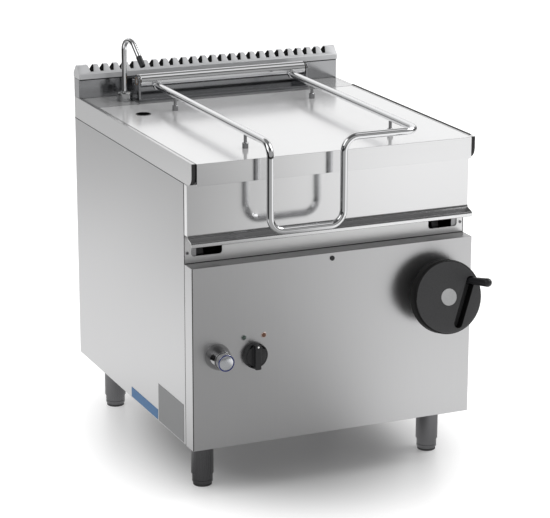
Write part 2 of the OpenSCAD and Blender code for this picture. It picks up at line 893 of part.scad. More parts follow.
module inlet_fittings() {
    color("darkgoldenrod") in_frame() difference() {
        union() {
            rod_z(underside_h - inlet_l - bush_wall, underside_h, inlet_x, inlet_y, inlet_r);
            rod_z(underside_h, underside_h + inlet_l, inlet_x, inlet_y, inlet_r + bush_wall);
            rod_z(underside_h - bush_wall, underside_h, inlet_x, inlet_y, inlet_r + 2 * bush_wall);
        }
        rod_z(underside_h - inlet_l - 2 * bush_wall, underside_h + inlet_l + over, inlet_x, inlet_y,
            pipe_r);
    }
    color(DARK) in_frame() difference() {
        union() {
            rod_z(underside_h - gland_l, underside_h + gland_l / 2, gland_x, inlet_y, gland_r + bush_wall);
            rod_z(underside_h - bush_wall, underside_h, gland_x, inlet_y, gland_r + 2 * bush_wall);
        }
        rod_z(underside_h - gland_l - over, underside_h + gland_l + over, gland_x, inlet_y, gland_bore_r);
    }
}

unit_inset = 340;
unit_x = unit_inset - half_w;
unit_y = 300;
unit_w = 240;
unit_d = 150;
terminal_h = 35;
contactor_h = 85;
unit_gap = 12;

module electrical_unit() {
    floor_h = underside_h + sheet;
    color([0.3, 0.32, 0.35]) in_frame() {
        block([unit_x, unit_y, floor_h], [unit_x + unit_w, unit_y + unit_d, floor_h + sheet]);
        block([unit_x + unit_gap, unit_y + unit_gap, floor_h + sheet],
            [unit_x + unit_w / 2 - unit_gap, unit_y + unit_d - unit_gap, floor_h + contactor_h]);
        block([unit_x + unit_w / 2 + unit_gap, unit_y + unit_gap, floor_h + sheet],
            [unit_x + unit_w - unit_gap, unit_y + unit_d / 2, floor_h + terminal_h]);
    }
}

// Handwheel frame: local Z points out along the leaning axis, from the face's middle
module wheel_frame() {
    translate([wheel_x, -wheel_front, wheel_h]) rotate([90 - wheel_lean, 0, 0]) children();
}

bearing_r = 24;
bearing_l = 30;
bearing_gap = 0.06;
spindle_l = 400;
rear_bearing_l = 16;
rear_bearing = spindle_l - rear_bearing_l;
bearing_foot_w = 34;
guide_offset = 40;
guide_r = 6;
collar_t = 8;

// Distance along the axis from the face's middle to the front box's face
panel_cut = (wheel_front - front_box_d) / cos(wheel_lean);

// Two bearings of the spindle, joined by a guide rod below it, and the post of the rear one
module spindle_bearings() {
    color([0.55, 0.55, 0.57]) in_frame() difference() {
        union() {
            difference() {
                wheel_frame() translate([0, -guide_offset / 2, -panel_cut - bearing_l])
                    linear_extrude(bearing_l + bearing_r)
                    round_rect([-bearing_r, -guide_offset / 2 - bearing_r],
                        [bearing_r, guide_offset / 2 + bearing_r],
                        bearing_r / 2);
                block([0, -wheel_front, 0], [half_w, -front_box_d + sheet, worktop_h]);
            }
            wheel_frame() translate([0, -guide_offset / 2, -rear_bearing - rear_bearing_l])
                linear_extrude(rear_bearing_l)
                    round_rect([-bearing_r, -guide_offset / 2 - bearing_r],
                        [bearing_r, guide_offset / 2 + bearing_r],
                        bearing_r / 2);
            wheel_frame() translate([0, -guide_offset, -rear_bearing - rear_bearing_l / 2])
                cylinder(h = rear_bearing + rear_bearing_l / 2 - panel_cut - bearing_l / 2, r = guide_r);
            block([wheel_x - bearing_foot_w / 2, bearing_post_y, underside_h + sheet],
                [wheel_x + bearing_foot_w / 2, bearing_post_y + post_w / 2, bearing_post_top]);
        }
        wheel_frame() translate([0, 0, -spindle_l - over])
            cylinder(h = spindle_l + over, r = spindle_r + bearing_gap);
    }
}

bearing_post_y = -wheel_front + (rear_bearing + rear_bearing_l / 2) * cos(wheel_lean) - guide_offset / 2;
bearing_post_top = wheel_h - rear_bearing * sin(wheel_lean) - guide_offset - guide_r;

// Screw spindle turned by the handwheel, with a collar on each side of the front bearing
module screw_spindle() {
    color(BRIGHT) in_frame() wheel_frame() {
        translate([0, 0, -spindle_l]) cylinder(h = spindle_l - hub_sink, r = spindle_r);
        translate([0, 0, -panel_cut - bearing_l - seam - collar_t])
            cylinder(h = collar_t, r = spindle_r + bush_wall);
    }
}

hub_sink = 9;
wheel_face_t = 5;
wheel_rim_t = 11;
wheel_hub_r = 21;
wheel_round_r = 7;
groove_w = 25;
groove_wall = 3;
groove_depth = 28;
groove_l = 118;
wheel_hub_l = 68;

// Half the rim's outline, with round outer edges
module wheel_outline() {
    polygon(concat([[0, 0]],
        [for (a = [90 : -15 : 0]) [wheel_r - wheel_round_r * (1 - cos(a)), -wheel_round_r * (1 - sin(a))]],
        [for (a = [0 : -15 : -90])
            [wheel_r - wheel_round_r * (1 - cos(a)), -wheel_depth + wheel_round_r * (1 + sin(a))]],
        [[wheel_r - wheel_rim_t, -wheel_depth], [wheel_r - wheel_rim_t, -wheel_face_t],
            [wheel_hub_r, -wheel_face_t],
            [wheel_hub_r, -wheel_hub_l], [0, -wheel_hub_l]]));
}

// The groove's outline about the crank pin, running down along the chord
module groove_outline(r) {
    translate([crank_x, crank_v]) rotate(-groove_turn) {
        circle(r);
        translate([-r, -groove_l]) square([2 * r, groove_l]);
        translate([0, -groove_l]) circle(r);
    }
}

module handwheel_disc() {
    color([0.16, 0.16, 0.17]) in_frame() wheel_frame() difference() {
        union() {
            rotate_extrude($fn = 96) wheel_outline();
            translate([0, 0, -groove_depth - groove_wall]) linear_extrude(groove_depth)
                intersection() {
                    groove_outline(groove_w / 2 + groove_wall);
                    circle(wheel_r - wheel_round_r);
                }
        }
        translate([0, 0, -groove_depth]) linear_extrude(groove_depth + over) groove_outline(groove_w / 2);
        translate([0, 0, -wheel_hub_l - over])
            cylinder(h = wheel_hub_l - hub_sink + over, r = spindle_r + snug);
        translate([0, 0, -cap_sink]) cylinder(h = cap_sink + over, r = wheel_cap_r + snug);
        translate([crank_x, crank_v, -crank_sink]) rotate([0, 90, -groove_turn])
            translate([0, 0, -crank_pin_l / 2 - over])
                cylinder(h = crank_pin_l + 2 * over, r = crank_pin_r + fit);
    }
}

cap_sink = 3;
cap_stand = 1.5;
crank_pin_r = 3;
crank_pin_l = groove_w + 2 * groove_wall - over;

module handwheel_cap() {
    color([0.5, 0.5, 0.5]) in_frame() wheel_frame() translate([0, 0, -cap_sink])
        cylinder(h = cap_sink + cap_stand, r = wheel_cap_r);
}

// Folding grip: it stands along the axis and folds down into the groove
grip_neck_r = 8;
grip_neck_l = 28;
grip_taper = 1.5;

module crank_grip() {
    color([0.1, 0.1, 0.1]) in_frame() wheel_frame() translate([crank_x, crank_v, -crank_sink])
        rotate([0, 0, -groove_turn]) {
            cylinder(h = grip_neck_l, r = grip_neck_r);
            translate([0, 0, grip_neck_l]) cylinder(h = grip_l - grip_neck_l, r1 = grip_r - grip_taper,
                r2 = grip_r);
            translate([0, 0, grip_l]) sphere(r = grip_r);
            sphere(r = grip_neck_r);
            rotate([0, 90, 0]) translate([0, 0, -crank_pin_l / 2])
                cylinder(h = crank_pin_l, r = crank_pin_r);
        }
}

// Nut carriage: a nut block on the spindle, carrying an upright plate with a curved slot.
// The slot is where the roller lies, less the way that the nut has run, so that the nut's
// travel and the pan's tilt keep one ratio.
lift_r = 200;
lift_angle = -88;
roller_r = 9;
roller_gap = 0.4;
cam_web = 11;
cam_t = 6;
cam_offset = 21;
cam_x = wheel_x - cam_offset;
nut_l = 60;
nut_w = 32;
nut_y = 169;
function roller_at(a) = about_pivot(lift_r, lift_angle + a);
function nut_run(a) = thread_pitch * wheel_turns * a / tilt_max;
function slot_at(a) = roller_at(a) - nut_run(a) * [cos(wheel_lean), -sin(wheel_lean)];

// Directions along a row of points, and a direction turned by an angle
function way(p, i) = let(d = p[min(i + 1, len(p) - 1)] - p[max(i - 1, 0)]) d / norm(d);
function turned(v, a) = [v[0] * cos(a) - v[1] * sin(a), v[0] * sin(a) + v[1] * cos(a)];

cap_steps = 10;
half_turn = 180;
quarter = half_turn / 2;

// A band of a given half width round a row of points, with round ends
module band(p, r) {
    n = len(p) - 1;
    polygon(concat([for (i = [0 : n]) p[i] + r * turned(way(p, i), quarter)],
        [for (k = [1 : cap_steps - 1]) p[n] + r * turned(way(p, n), quarter - half_turn * k / cap_steps)],
        [for (i = [n : -1 : 0]) p[i] + r * turned(way(p, i), -quarter)],
        [for (k = [1 : cap_steps - 1]) p[0] - r * turned(way(p, 0), quarter - half_turn * k / cap_steps)]));
}

slot_steps = 16;
slot_points = [for (i = [0 : slot_steps]) slot_at(tilt_max * i / slot_steps)];

module nut_carriage() {
    color([0.6, 0.6, 0.62]) in_frame() {
        difference() {
            union() {
                wheel_frame() translate([0, -guide_offset / 2, -nut_y - nut_l / 2]) linear_extrude(nut_l)
                    round_rect([-nut_w / 2, -guide_offset / 2 - nut_w / 2],
                        [nut_w / 2, guide_offset / 2 + nut_w / 2],
                        bearing_r / 3);
                along_x(cam_x - cam_t / 2, cam_x + cam_t / 2) difference() {
                    band(slot_points, roller_r + roller_gap + cam_web);
                    band(slot_points, roller_r + roller_gap);
                }
                along_x(cam_x - cam_t / 2, wheel_x - nut_w / 2 + over) translate(nut_place)
                    circle(cam_web);
            }
            wheel_frame() translate([0, 0, -nut_y - nut_l])
                cylinder(h = 2 * nut_l, r = spindle_r + bearing_gap);
            wheel_frame() translate([0, -guide_offset, -nut_y - nut_l])
                cylinder(h = 2 * nut_l, r = guide_r + bearing_gap);
        }
    }
}

// Where the cam plate is joined to the nut block, in front of the slot
nut_place_share = 0.3;
nut_place = slot_at(tilt_max * nut_place_share) - [roller_r + cam_web + bush_wall + seam, 0];

// Lift arm under the pan, with the roller that runs in the slot
lift_w = 8;
lift_offset = 13;
lift_x = cam_x - lift_offset;
lift_boss_r = 15;
lift_web_share = [-0.8, 0.6];
lift_root_gap = 6;
lift_root_w = 60;
lift_root_y = casing_slope_y + lift_root_gap;

module lift_arm() {
    roller = roller_at(0);
    color([0.6, 0.6, 0.62]) in_frame() {
        along_x(lift_x - lift_w / 2, lift_x + lift_w / 2) union() {
            translate(roller) circle(lift_boss_r);
            polygon([roller + lift_boss_r * lift_web_share, roller - lift_boss_r * lift_web_share,
                [lift_root_y + lift_root_w, casing_h], [lift_root_y, casing_h]]);
        }
        rod_x(lift_x, cam_x + cam_t / 2 + over, roller[0], roller[1], roller_r);
    }
}

// Pan: rim, well, apron with lip, casing
module pan_rim() {
    color(STEEL) in_frame() translate([0, 0, rim_h - rim_t]) linear_extrude(rim_t) difference() {
        translate([-rim_half, -apron_front + sheet]) square([2 * rim_half, pan_rear + apron_front - sheet]);
        round_rect([-well_half, well_front], [well_half, well_rear], well_corner_r);
    }
}

// The well's front slopes below its sill, so that the pan tips over the casing's slope
well_sill_h = 725;
well_sill_drop = 6;
well_slope_y = 71.5;
well_toe_y = 127;

module well_outline(out) {
    top = rim_h - rim_t + (out > 0 ? 0 : over);
    polygon([[well_front - out, top], [well_front - out, well_sill_h - out],
        [well_slope_y - out / 2, well_sill_h - well_sill_drop - out],
            [well_toe_y - out, well_floor_h - out],
        [well_rear + out, well_floor_h - out], [well_rear + out, top]]);
}

module well_body(out) {
    intersection() {
        along_x(-well_half - out, well_half + out) well_outline(out);
        linear_extrude(rim_h) round_rect([-well_half - out, well_front - out],
            [well_half + out, well_rear + out],
            well_corner_r + out);
    }
}

module pan_well() {
    color([0.7, 0.71, 0.72]) in_frame() difference() {
        well_body(well_wall);
        well_body(0);
    }
}

// The apron's and lip's outline: down the front wall, out to the lip, and a short turn down
module pan_apron() {
    color(BRIGHT) in_frame() {
        along_x(-half_w, half_w) polygon([[-apron_front + sheet, apron_top], [-apron_front, apron_top],
            [-apron_front, apron_low_h], [-lip_front, lip_h + lip_edge_h], [-lip_front, lip_h],
            [-lip_front + sheet, lip_h], [-lip_front + sheet, lip_h + lip_edge_h - sheet / 2],
            [-apron_front + sheet, apron_low_h - sheet / 2]]);
        for (s = [-1, 1])
            block([s > 0 ? panel_in : -half_w, -apron_front + sheet, apron_low_h],
                [s > 0 ? half_w : -panel_in, -sheet, apron_top]);
    }
}

module casing_outline(wall) {
    front = -apron_front + sheet;
    polygon([[front + wall, rim_h - rim_t + (wall > 0 ? over : 0)], [front + wall, apron_low_h + wall],
        [casing_flat_y + wall / 2, apron_low_h - casing_front_drop + wall],
            [casing_slope_y + wall / 2, casing_h + wall],
        [pan_rear - wall, casing_h + wall], [pan_rear - wall, rim_h - rim_t + (wall > 0 ? over : 0)]]);
}

module pan_casing() {
    color(STEEL) in_frame() difference() {
        along_x(-casing_half, casing_half) casing_outline(0);
        along_x(-casing_half + casing_wall, casing_half - casing_wall) casing_outline(casing_wall);
    }
}

base_t = 12;
base_inset = 20;

module pan_base_plate() {
    color([0.35, 0.35, 0.36]) in_frame() translate([0, 0, well_floor_h - well_wall - base_t])
        linear_extrude(base_t)
        round_rect([-well_half + base_inset, base_front],
            [well_half - base_inset, well_rear - base_inset], base_inset);
}

base_gap = 18;
base_front = well_toe_y + base_gap;
element_r = 4.25;
element_rows = 7;
element_pitch = (well_rear - 3 * base_inset - base_front) / (element_rows - 1);
element_inset = 55;
element_reach = well_half - element_inset;

// Heating rods under the base plate
module heating_elements() {
    z = well_floor_h - well_wall - base_t - element_r;
    color([0.2, 0.2, 0.2]) in_frame() for (i = [0 : element_rows - 1])
        rod_x(-element_reach, element_reach, base_front + base_inset + i * element_pitch, z, element_r);
}

// Heat shield below the rods, with side walls that carry it in the casing
module heat_shield() {
    z = casing_h + casing_wall;
    shield_top = well_floor_h - well_wall - base_t - 2 * element_r;
    color([0.6, 0.6, 0.6]) in_frame()
        block([-well_half, base_front, z], [well_half, well_rear, shield_top]);
}

// Lid hinge: a bracket behind the pan, flush with the deck, and the housing on it
web_gap = 2.5;
web_t = 4;
bracket_low = 12;

module lid_hinge_bracket() {
    web_y = lid_rear + web_gap;
    low = rim_h - rim_t;
    color(STEEL) in_frame() {
        block([-bracket_half, web_y, worktop_h - sheet], [bracket_half, bracket_rear, worktop_h]);
        block([-bracket_half, web_y, low - bracket_low], [bracket_half, web_y + web_t, worktop_h - sheet]);
        block([-bracket_half, pan_rear, low - bracket_low],
            [bracket_half, web_y, low - bracket_low + web_t]);
    }
}

rail_h = 6;
rail_d = 5;
rail_front = 18;
rail_y = hinge_y - rail_front;
housing_back_h = 940;
journal_r = 8;
journal_l = 14;
hinge_wall = 2.5;

module lid_hinge_housing() {
    top = worktop_h;
    color(BRIGHT) in_frame() {
        difference() {
            union() {
                block([-housing_half, rail_y, top], [housing_half, rail_y + rail_d, top + rail_h]);
                block([-housing_half, rail_y + rail_d, top], [housing_half, housing_rear, top + sheet]);
                block([-housing_half, housing_rear - sheet, top],
                    [housing_half, housing_rear, housing_back_h]);
                for (s = [-1, 1]) {
                    block([s > 0 ? housing_half - end_t : -housing_half, rail_y, top],
                        [s > 0 ? housing_half : -housing_half + end_t, housing_rear, hinge_h]);
                    rod_x(s > 0 ? housing_half - end_t : -housing_half,
                        s > 0 ? housing_half : -housing_half + end_t,
                        hinge_y, hinge_h, hinge_r);
                }
            }
            rod_x(-half_w, half_w, hinge_y, hinge_h, journal_r + bush_wall + fit);
        }
    }
}

// Hinge tube: it turns with the lid in the two bushes
module hinge_tube() {
    color(BRIGHT) in_frame() difference() {
        union() {
            rod_x(-hinge_half, hinge_half, hinge_y, hinge_h, hinge_r);
            rod_x(-housing_half, housing_half, hinge_y, hinge_h, journal_r);
        }
        rod_x(-hinge_half + journal_l, hinge_half - journal_l, hinge_y, hinge_h, hinge_r - hinge_wall);
    }
}

// Lid: outer skin with its skirt, a liner below, a collar round the fill hole and a seal
fill_inset = 96;
fill_x = fill_inset - half_w;
fill_back = 124;
fill_y = lid_rear - fill_back;
collar_wall = 1.5;
collar_stand = 1;
liner_t = 1.5;
seal_w = 12;
seal_inset = 10;

module lid_skin() {
    color(STEEL) in_frame() difference() {
        block([-lid_half, -lid_front, lid_low_h], [lid_half, lid_rear, worktop_h]);
        block([-lid_half + sheet, -lid_front + sheet, lid_low_h - over],
            [lid_half - sheet, lid_rear - sheet, worktop_h - sheet]);
        rod_z(lid_low_h, worktop_h + over, fill_x, fill_y, fill_d / 2 + collar_wall + fit);
    }
}

module lid_liner() {
    color(STEEL) in_frame() difference() {
        block([-lid_half + sheet + seam, -lid_front + sheet + seam, lid_low_h],
            [lid_half - sheet - seam, lid_rear - sheet - seam, lid_low_h + liner_t]);
        rod_z(lid_low_h - over, worktop_h, fill_x, fill_y, fill_d / 2 + collar_wall + fit);
    }
}

module fill_collar() {
    color(BRIGHT) in_frame() difference() {
        union() {
            rod_z(lid_low_h, worktop_h + collar_stand, fill_x, fill_y, fill_d / 2 + collar_wall);
            rod_z(worktop_h, worktop_h + collar_stand, fill_x, fill_y, fill_d / 2 + 2 * collar_wall);
        }
        rod_z(lid_low_h - over, worktop_h + 2 * collar_stand, fill_x, fill_y, fill_d / 2);
    }
}

module lid_seal() {
    low = [-well_half - seal_inset, well_front - seal_inset];
    high = [well_half + seal_inset, well_rear + seal_inset];
    color(DARK) in_frame() translate([0, 0, rim_h + seam]) linear_extrude(lid_low_h - rim_h - seam)
        difference() {
            round_rect(low - [seal_w, seal_w], high + [seal_w, seal_w], well_corner_r);
            round_rect(low, high, well_corner_r);
        }
}

// Handle: one tube bent into two bars and a front loop
bar_end_y = hinge_y - hinge_r / 2;
handle_points = [[-bar_x, bar_end_y, bar_h], [-bar_x, -handle_front, bar_h],
    [-bar_x, -handle_front, handle_low_h],
    [-loop_offset, -handle_front, handle_low_h], [-loop_offset, -handle_front, bar_h],
    [bar_x, -handle_front, bar_h],
    [bar_x, bar_end_y, bar_h]];
cap_l = 11;
cap_wall = 1.8;

module lid_handle() {
    color(BRIGHT) in_frame() difference() {
        union() {
            bent_tube(handle_points, bend_r, bar_r, bar_wall);
            for (s = [-1, 1]) difference() {
                rod_y(hinge_y - hinge_r - cap_l, bar_end_y, s * bar_x, bar_h, bar_r + cap_wall);
                rod_y(hinge_y - hinge_r - 2 * cap_l, bar_end_y + over, s * bar_x, bar_h, bar_r - bar_wall);
            }
        }
        rod_x(-half_w, half_w, hinge_y, hinge_h, hinge_r + snug);
    }
}

// Posts between the lid and the bars, each with a collar at its foot
bar_post_front = 57;
bar_post_back = 114;
post_r = 4.25;
post_foot_r = 8;
post_foot_h = 15;

module bar_posts() {
    color(BRIGHT) in_frame() for (s = [-1, 1], y = [bar_post_front, lid_rear - bar_post_back])
        difference() {
        union() {
            rod_z(worktop_h, worktop_h + post_foot_h, s * bar_x, y, post_foot_r);
            rod_z(worktop_h, bar_h, s * bar_x, y, post_r);
        }
        rod_y(y - 2 * post_foot_r, y + 2 * post_foot_r, s * bar_x, bar_h, bar_r + snug);
    }
}

left_side_panel();
right_side_panel();
back_panel();
bottom_tray();
front_panel();
panel_lock();
fascia_panel();
fascia_screws();
deck_side_strips();
rear_deck();
flue_upstand();
flue_cap();
corner_posts();
cross_beams();
pivot_brackets();
pivot_pins();
leg_sleeves();
side_plates_blank();
lamp_green();
lamp_orange();
regulator_body();
tap_bell();
tap_valve_body();
water_pipe();
faucet_base();
inlet_fittings();
electrical_unit();
spindle_bearings();
pan_well();
pan_rim();
pan_apron();
pan_casing();
pan_base_plate();
heating_elements();
heat_shield();
pan_arms();
bronze_bushes();
lift_arm();
lid_hinge_bracket();
lid_hinge_housing();
lid_skin();
lid_liner();
fill_collar();
lid_seal();
hinge_tube();
lid_handle();
bar_posts();
handwheel_disc();
handwheel_cap();
screw_spindle();
crank_grip();
nut_carriage();
water_spout();
spout_nozzle();
tap_button();
regulator_knob();
leg_front_left();
leg_rear_left();
leg_front_right();
leg_rear_right();
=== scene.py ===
import json
import math

import bmesh
import bpy
from mathutils import Matrix, Vector


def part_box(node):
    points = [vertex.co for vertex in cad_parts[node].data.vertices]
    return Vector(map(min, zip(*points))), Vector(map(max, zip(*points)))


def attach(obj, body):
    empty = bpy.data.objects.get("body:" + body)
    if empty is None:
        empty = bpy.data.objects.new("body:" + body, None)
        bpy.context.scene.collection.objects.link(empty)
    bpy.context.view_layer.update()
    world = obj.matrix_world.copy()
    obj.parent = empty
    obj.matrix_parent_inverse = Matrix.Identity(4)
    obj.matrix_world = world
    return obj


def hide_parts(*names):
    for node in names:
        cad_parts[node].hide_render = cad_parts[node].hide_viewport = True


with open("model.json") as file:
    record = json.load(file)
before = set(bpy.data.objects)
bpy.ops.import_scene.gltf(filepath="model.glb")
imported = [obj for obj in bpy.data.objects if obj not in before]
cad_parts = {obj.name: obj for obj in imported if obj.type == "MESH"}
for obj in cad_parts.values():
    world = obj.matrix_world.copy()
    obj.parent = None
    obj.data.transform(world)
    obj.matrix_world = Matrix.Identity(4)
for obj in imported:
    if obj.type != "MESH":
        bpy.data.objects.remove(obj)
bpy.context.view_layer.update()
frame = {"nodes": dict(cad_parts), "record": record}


# Cabinet shell: two side panels, a back, a tray, posts and beams. They are folded from ground
# stainless sheet and screwed together, so the sheet carries a fine grain and soft smudges. Black
# bars of painted shadow run along the top and front edges of the side panels, in the gaps there.
class Wire:
    """A socket in a material's tree that takes part in arithmetic."""

    def __init__(self, tree, socket=None):
        self.tree = tree
        self.socket = socket

    def node(self, kind, settings=None, values=None, out=0):
        """A node of a kind: its settings are set first, then its sockets get values or links."""
        made = self.tree.nodes.new("ShaderNode" + kind)
        for key, value in (settings or {}).items():
            setattr(made, key, value)
        for key, value in (values or {}).items():
            if isinstance(value, Wire):
                self.tree.links.new(value.socket, made.inputs[key])
            else:
                made.inputs[key].default_value = value
        return Wire(self.tree, made.outputs[out])

    def maths(self, operation, first, second):
        return self.node("Math", {"operation": operation}, {0: first, 1: second})

    def __add__(self, other):
        return self.maths("ADD", self, other)

    def __radd__(self, other):
        return self.maths("ADD", other, self)

    def __sub__(self, other):
        return self.maths("SUBTRACT", self, other)

    def __rsub__(self, other):
        return self.maths("SUBTRACT", other, self)

    def __mul__(self, other):
        return self.maths("MULTIPLY", self, other)

    def __rmul__(self, other):
        return self.maths("MULTIPLY", other, self)

    def __gt__(self, other):
        return self.maths("GREATER_THAN", self, other)


def finish(name, build, **plain):
    """A material: plain numbers go on the shader's sockets, and build gives the wires."""
    material = bpy.data.materials.new(name)
    material.use_nodes = True
    tree = material.node_tree
    shader = tree.nodes["Principled BSDF"]
    for key, value in plain.items():
        shader.inputs[key.replace("_", " ")].default_value = value
    place = Wire(tree).node("TexCoord", out="Object")
    for key, wire in build(place).items():
        tree.links.new(wire.socket, shader.inputs[key])
    return material


def noise(place, scale, detail=2.0, stretch=(1.0, 1.0, 1.0)):
    vector = place.node("Mapping", None, {"Vector": place, "Scale": stretch})
    return place.node("TexNoise", None, {"Vector": vector, "Scale": scale, "Detail": detail})


def blend_colours(factor, dark, light):
    colours = {0: factor, 6: (*dark, 1.0), 7: (*light, 1.0)}
    return factor.node("Mix", {"data_type": "RGBA"}, colours, out=2)


def relief(height, strength, distance=0.0002):
    """A bump, for a shader's Normal."""
    return height.node("Bump", None, {"Strength": strength, "Distance": distance, "Height": height})


def ground_sheet(tint, rough, along, depth=0.05):
    """Sheet ground along one axis: 0, 1 or 2 for X, Y or Z."""
    fine, coarse = 1500.0, 12.0
    stretch = [fine, fine, fine]
    stretch[along] = coarse

    def build(place):
        hairs = noise(place, 1.0, 3.0, stretch)
        smudge = noise(place, 4.0, 3.0)
        shade = hairs * 0.5 + smudge * 0.5
        dark = [0.93 * c for c in tint]
        light = [min(1.05 * c, 1.0) for c in tint]
        return {
            "Base Color": blend_colours(shade, dark, light),
            "Roughness": rough - 0.05 + hairs * 0.06 + smudge * 0.05,
            "Normal": relief(hairs, depth),
        }

    return build


def speckled(dark, light, rough, spread, tone=(300.0, 4.0), gloss=(25.0, 3.0), pitted=False):
    """Rubber, paint or plastic: specks in its tone and patches in its gloss.

    Tone and gloss each give the scale and the detail of a noise.
    """

    def build(place):
        look = {
            "Base Color": blend_colours(noise(place, *tone), dark, light),
            "Roughness": rough + noise(place, *gloss) * spread,
        }
        if pitted:
            look["Normal"] = relief(noise(place, 900.0), 0.08)
        return look

    return build


def as_mesh(form, name):
    """Ends the building of a form: its faces look outward, and it becomes a mesh."""
    bmesh.ops.recalc_face_normals(form, faces=form.faces)
    mesh = bpy.data.meshes.new(name)
    form.to_mesh(mesh)
    form.free()
    return mesh


def box_mesh(low, high):
    """A plain bar between two corners."""
    form = bmesh.new()
    bmesh.ops.create_cube(form, size=1.0)
    for vertex in form.verts:
        vertex.co = [a + (b - a) * (c + 0.5) for a, b, c in zip(low, high, vertex.co)]
    return as_mesh(form, "bar")


def dress(material, *names):
    """Gives a material to nodes that show as they are."""
    for name in names:
        slots = frame["nodes"][name].data.materials
        slots.clear()
        slots.append(material)


def put(name, mesh, material, body, replaced=(), like=None, sharp=35.0):
    """Adds a piece made as a mesh in the frame of the model, riding on a body.

    The slot of the node that it is like, or else that it replaces, is looked up but not given to
    the piece.
    """
    mesh.materials.clear()
    mesh.materials.append(material)
    mesh.polygons.foreach_set("use_smooth", [True] * len(mesh.polygons))
    mesh.set_sharp_from_angle(angle=math.radians(sharp))
    made = bpy.data.objects.new(name, mesh)
    bpy.context.scene.collection.objects.link(made)
    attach(made, body)
    if replaced:
        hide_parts(*replaced)
    like = like or replaced[0]
    rows = frame["record"]["subparts"]
    next(row["material_slot"] for row in rows if row["node"] == like)
    return made


def soften(node, material, body, width, segments=2, like=None, edge=None):
    """The CAD solid with its facets merged and its edges rounded like bent or turned metal.

    The rounded edges can have a material of their own, in the second slot.
    """
    same_place, flat_angle, edge_angle = 0.00002, math.radians(0.4), math.radians(40)
    mesh = frame["nodes"][node].data.copy()
    form = bmesh.new()
    form.from_mesh(mesh)
    bmesh.ops.remove_doubles(form, verts=form.verts, dist=same_place)
    bmesh.ops.dissolve_limit(form, angle_limit=flat_angle, verts=form.verts, edges=form.edges)
    form.to_mesh(mesh)
    form.free()
    made = put(node + "_dressed", mesh, material, body, (node,), like)
    if edge:
        made.data.materials.append(edge)
    round_off = made.modifiers.new("rounding", "BEVEL")
    round_off.width = width
    round_off.segments = segments
    round_off.limit_method = "ANGLE"
    round_off.angle_limit = edge_angle
    round_off.harden_normals = True
    round_off.use_clamp_overlap = True
    round_off.material = 1 if edge else -1
    return made


def pick_out(made, material, chosen):
    """Gives a piece one more material, on the faces that are chosen."""
    made.data.materials.append(material)
    for face in made.data.polygons:
        if chosen(face):
            face.material_index = len(made.data.materials) - 1


side_steel = finish("side_steel", ground_sheet((0.65, 0.65, 0.655), 0.32, 2), Metallic=1.0)
for panel in ("left_side_panel", "right_side_panel", "back_panel"):
    soften(panel, side_steel, "cabinet", 0.0007)
inner_steel = finish("inner_steel", ground_sheet((0.5, 0.5, 0.51), 0.42, 0), Metallic=1.0)
dress(inner_steel, "bottom_tray", "corner_posts", "cross_beams", "pivot_brackets")
# Painted shade: this near-black finish marks gaps, hollows and joints that lie in shadow.
painted_shade_look = speckled((0.012,) * 3, (0.03,) * 3, 0.6, 0.2, (90.0, 4.0), (200.0, 2.0))
painted_shade_black = finish("painted_shade_black", painted_shade_look)


def shadow_line(name, low, high):
    """A line of painted shadow in a gap, as a black bar between two corners."""
    put(name, box_mesh(low, high), painted_shade_black, "cabinet", like="lid_seal")


side_low, side_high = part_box("left_side_panel")
front_y, top_z = side_low[1], side_high[2]
half_wide, proud, shadow_line_width = 0.4, 0.0003, 0.0018
for side, face_x in (("left", -half_wide), ("right", half_wide)):
    near, beyond = face_x - proud, face_x + proud
    shadow_line(
        "shadow_line_top_" + side,
        (near, front_y, top_z - shadow_line_width / 2),
        (beyond, side_high[1], top_z + shadow_line_width / 2),
    )
    shadow_line(
        "shadow_line_front_" + side,
        (near, front_y - shadow_line_width / 2, side_low[2]),
        (beyond, front_y + shadow_line_width / 2, top_z),
    )

# Front box and fascia: one deep tray folded from sheet ground upright, and a plain strip with two
# slots above it. The tray's rounded edges carry a painted dark reflection and its top face painted
# shade, both as darker tints of its sheet, and the strip's sheet is tinted brighter as painted
# light.
# A round-headed zinc screw holds the strip at each end, with a black disc of painted shade in its
# recess, and black bars of painted shadow line the joint below the strip and the box's left edge.
front_steel = finish("front_steel", ground_sheet((0.63, 0.63, 0.635), 0.3, 2), Metallic=1.0)
# Painted dark reflection: the box's rounded edges get a far darker tint of the same sheet.
dark_reflection_edge = finish("dark_reflection_edge", ground_sheet((0.2, 0.2, 0.202), 0.3, 2), Metallic=1.0)
front_box = soften("front_panel", front_steel, "cabinet", 0.0013, edge=dark_reflection_edge)
# Painted shade: the box's top face gets a darker tint of the same sheet.
shaded_ledge_steel = finish("shaded_ledge_steel", ground_sheet((0.42, 0.42, 0.423), 0.3, 0), Metallic=1.0)
front_low, front_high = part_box("front_panel")
face_on, corner_in, edge_wide = 0.9, 0.001, 0.0022
ledge_z = front_high[2] - corner_in
pick_out(front_box, shaded_ledge_steel, lambda face: face.normal.z > face_on and face.center.z > ledge_z)
shadow_line(
    "shadow_line_box_edge",
    (front_low[0], front_low[1] - proud / 2, front_low[2] + corner_in),
    (front_low[0] + edge_wide, front_low[1] + corner_in, ledge_z),
)
fascia_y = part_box("fascia_panel")[0][1]
joint_in, joint_deep, joint_tall = 0.002, 0.0008, 0.0013
shadow_line(
    "shadow_line_fascia",
    (front_low[0] + joint_in, fascia_y - joint_deep, front_high[2]),
    (front_high[0] - joint_in, fascia_y, front_high[2] + joint_tall),
)
# Painted light: the strip's sheet is tinted far brighter than the box's.
brightened_fascia_steel = finish("brightened_fascia_steel", ground_sheet((0.95, 0.95, 0.95), 0.36, 0), Metallic=1.0)
soften("fascia_panel", brightened_fascia_steel, "cabinet", 0.0004)


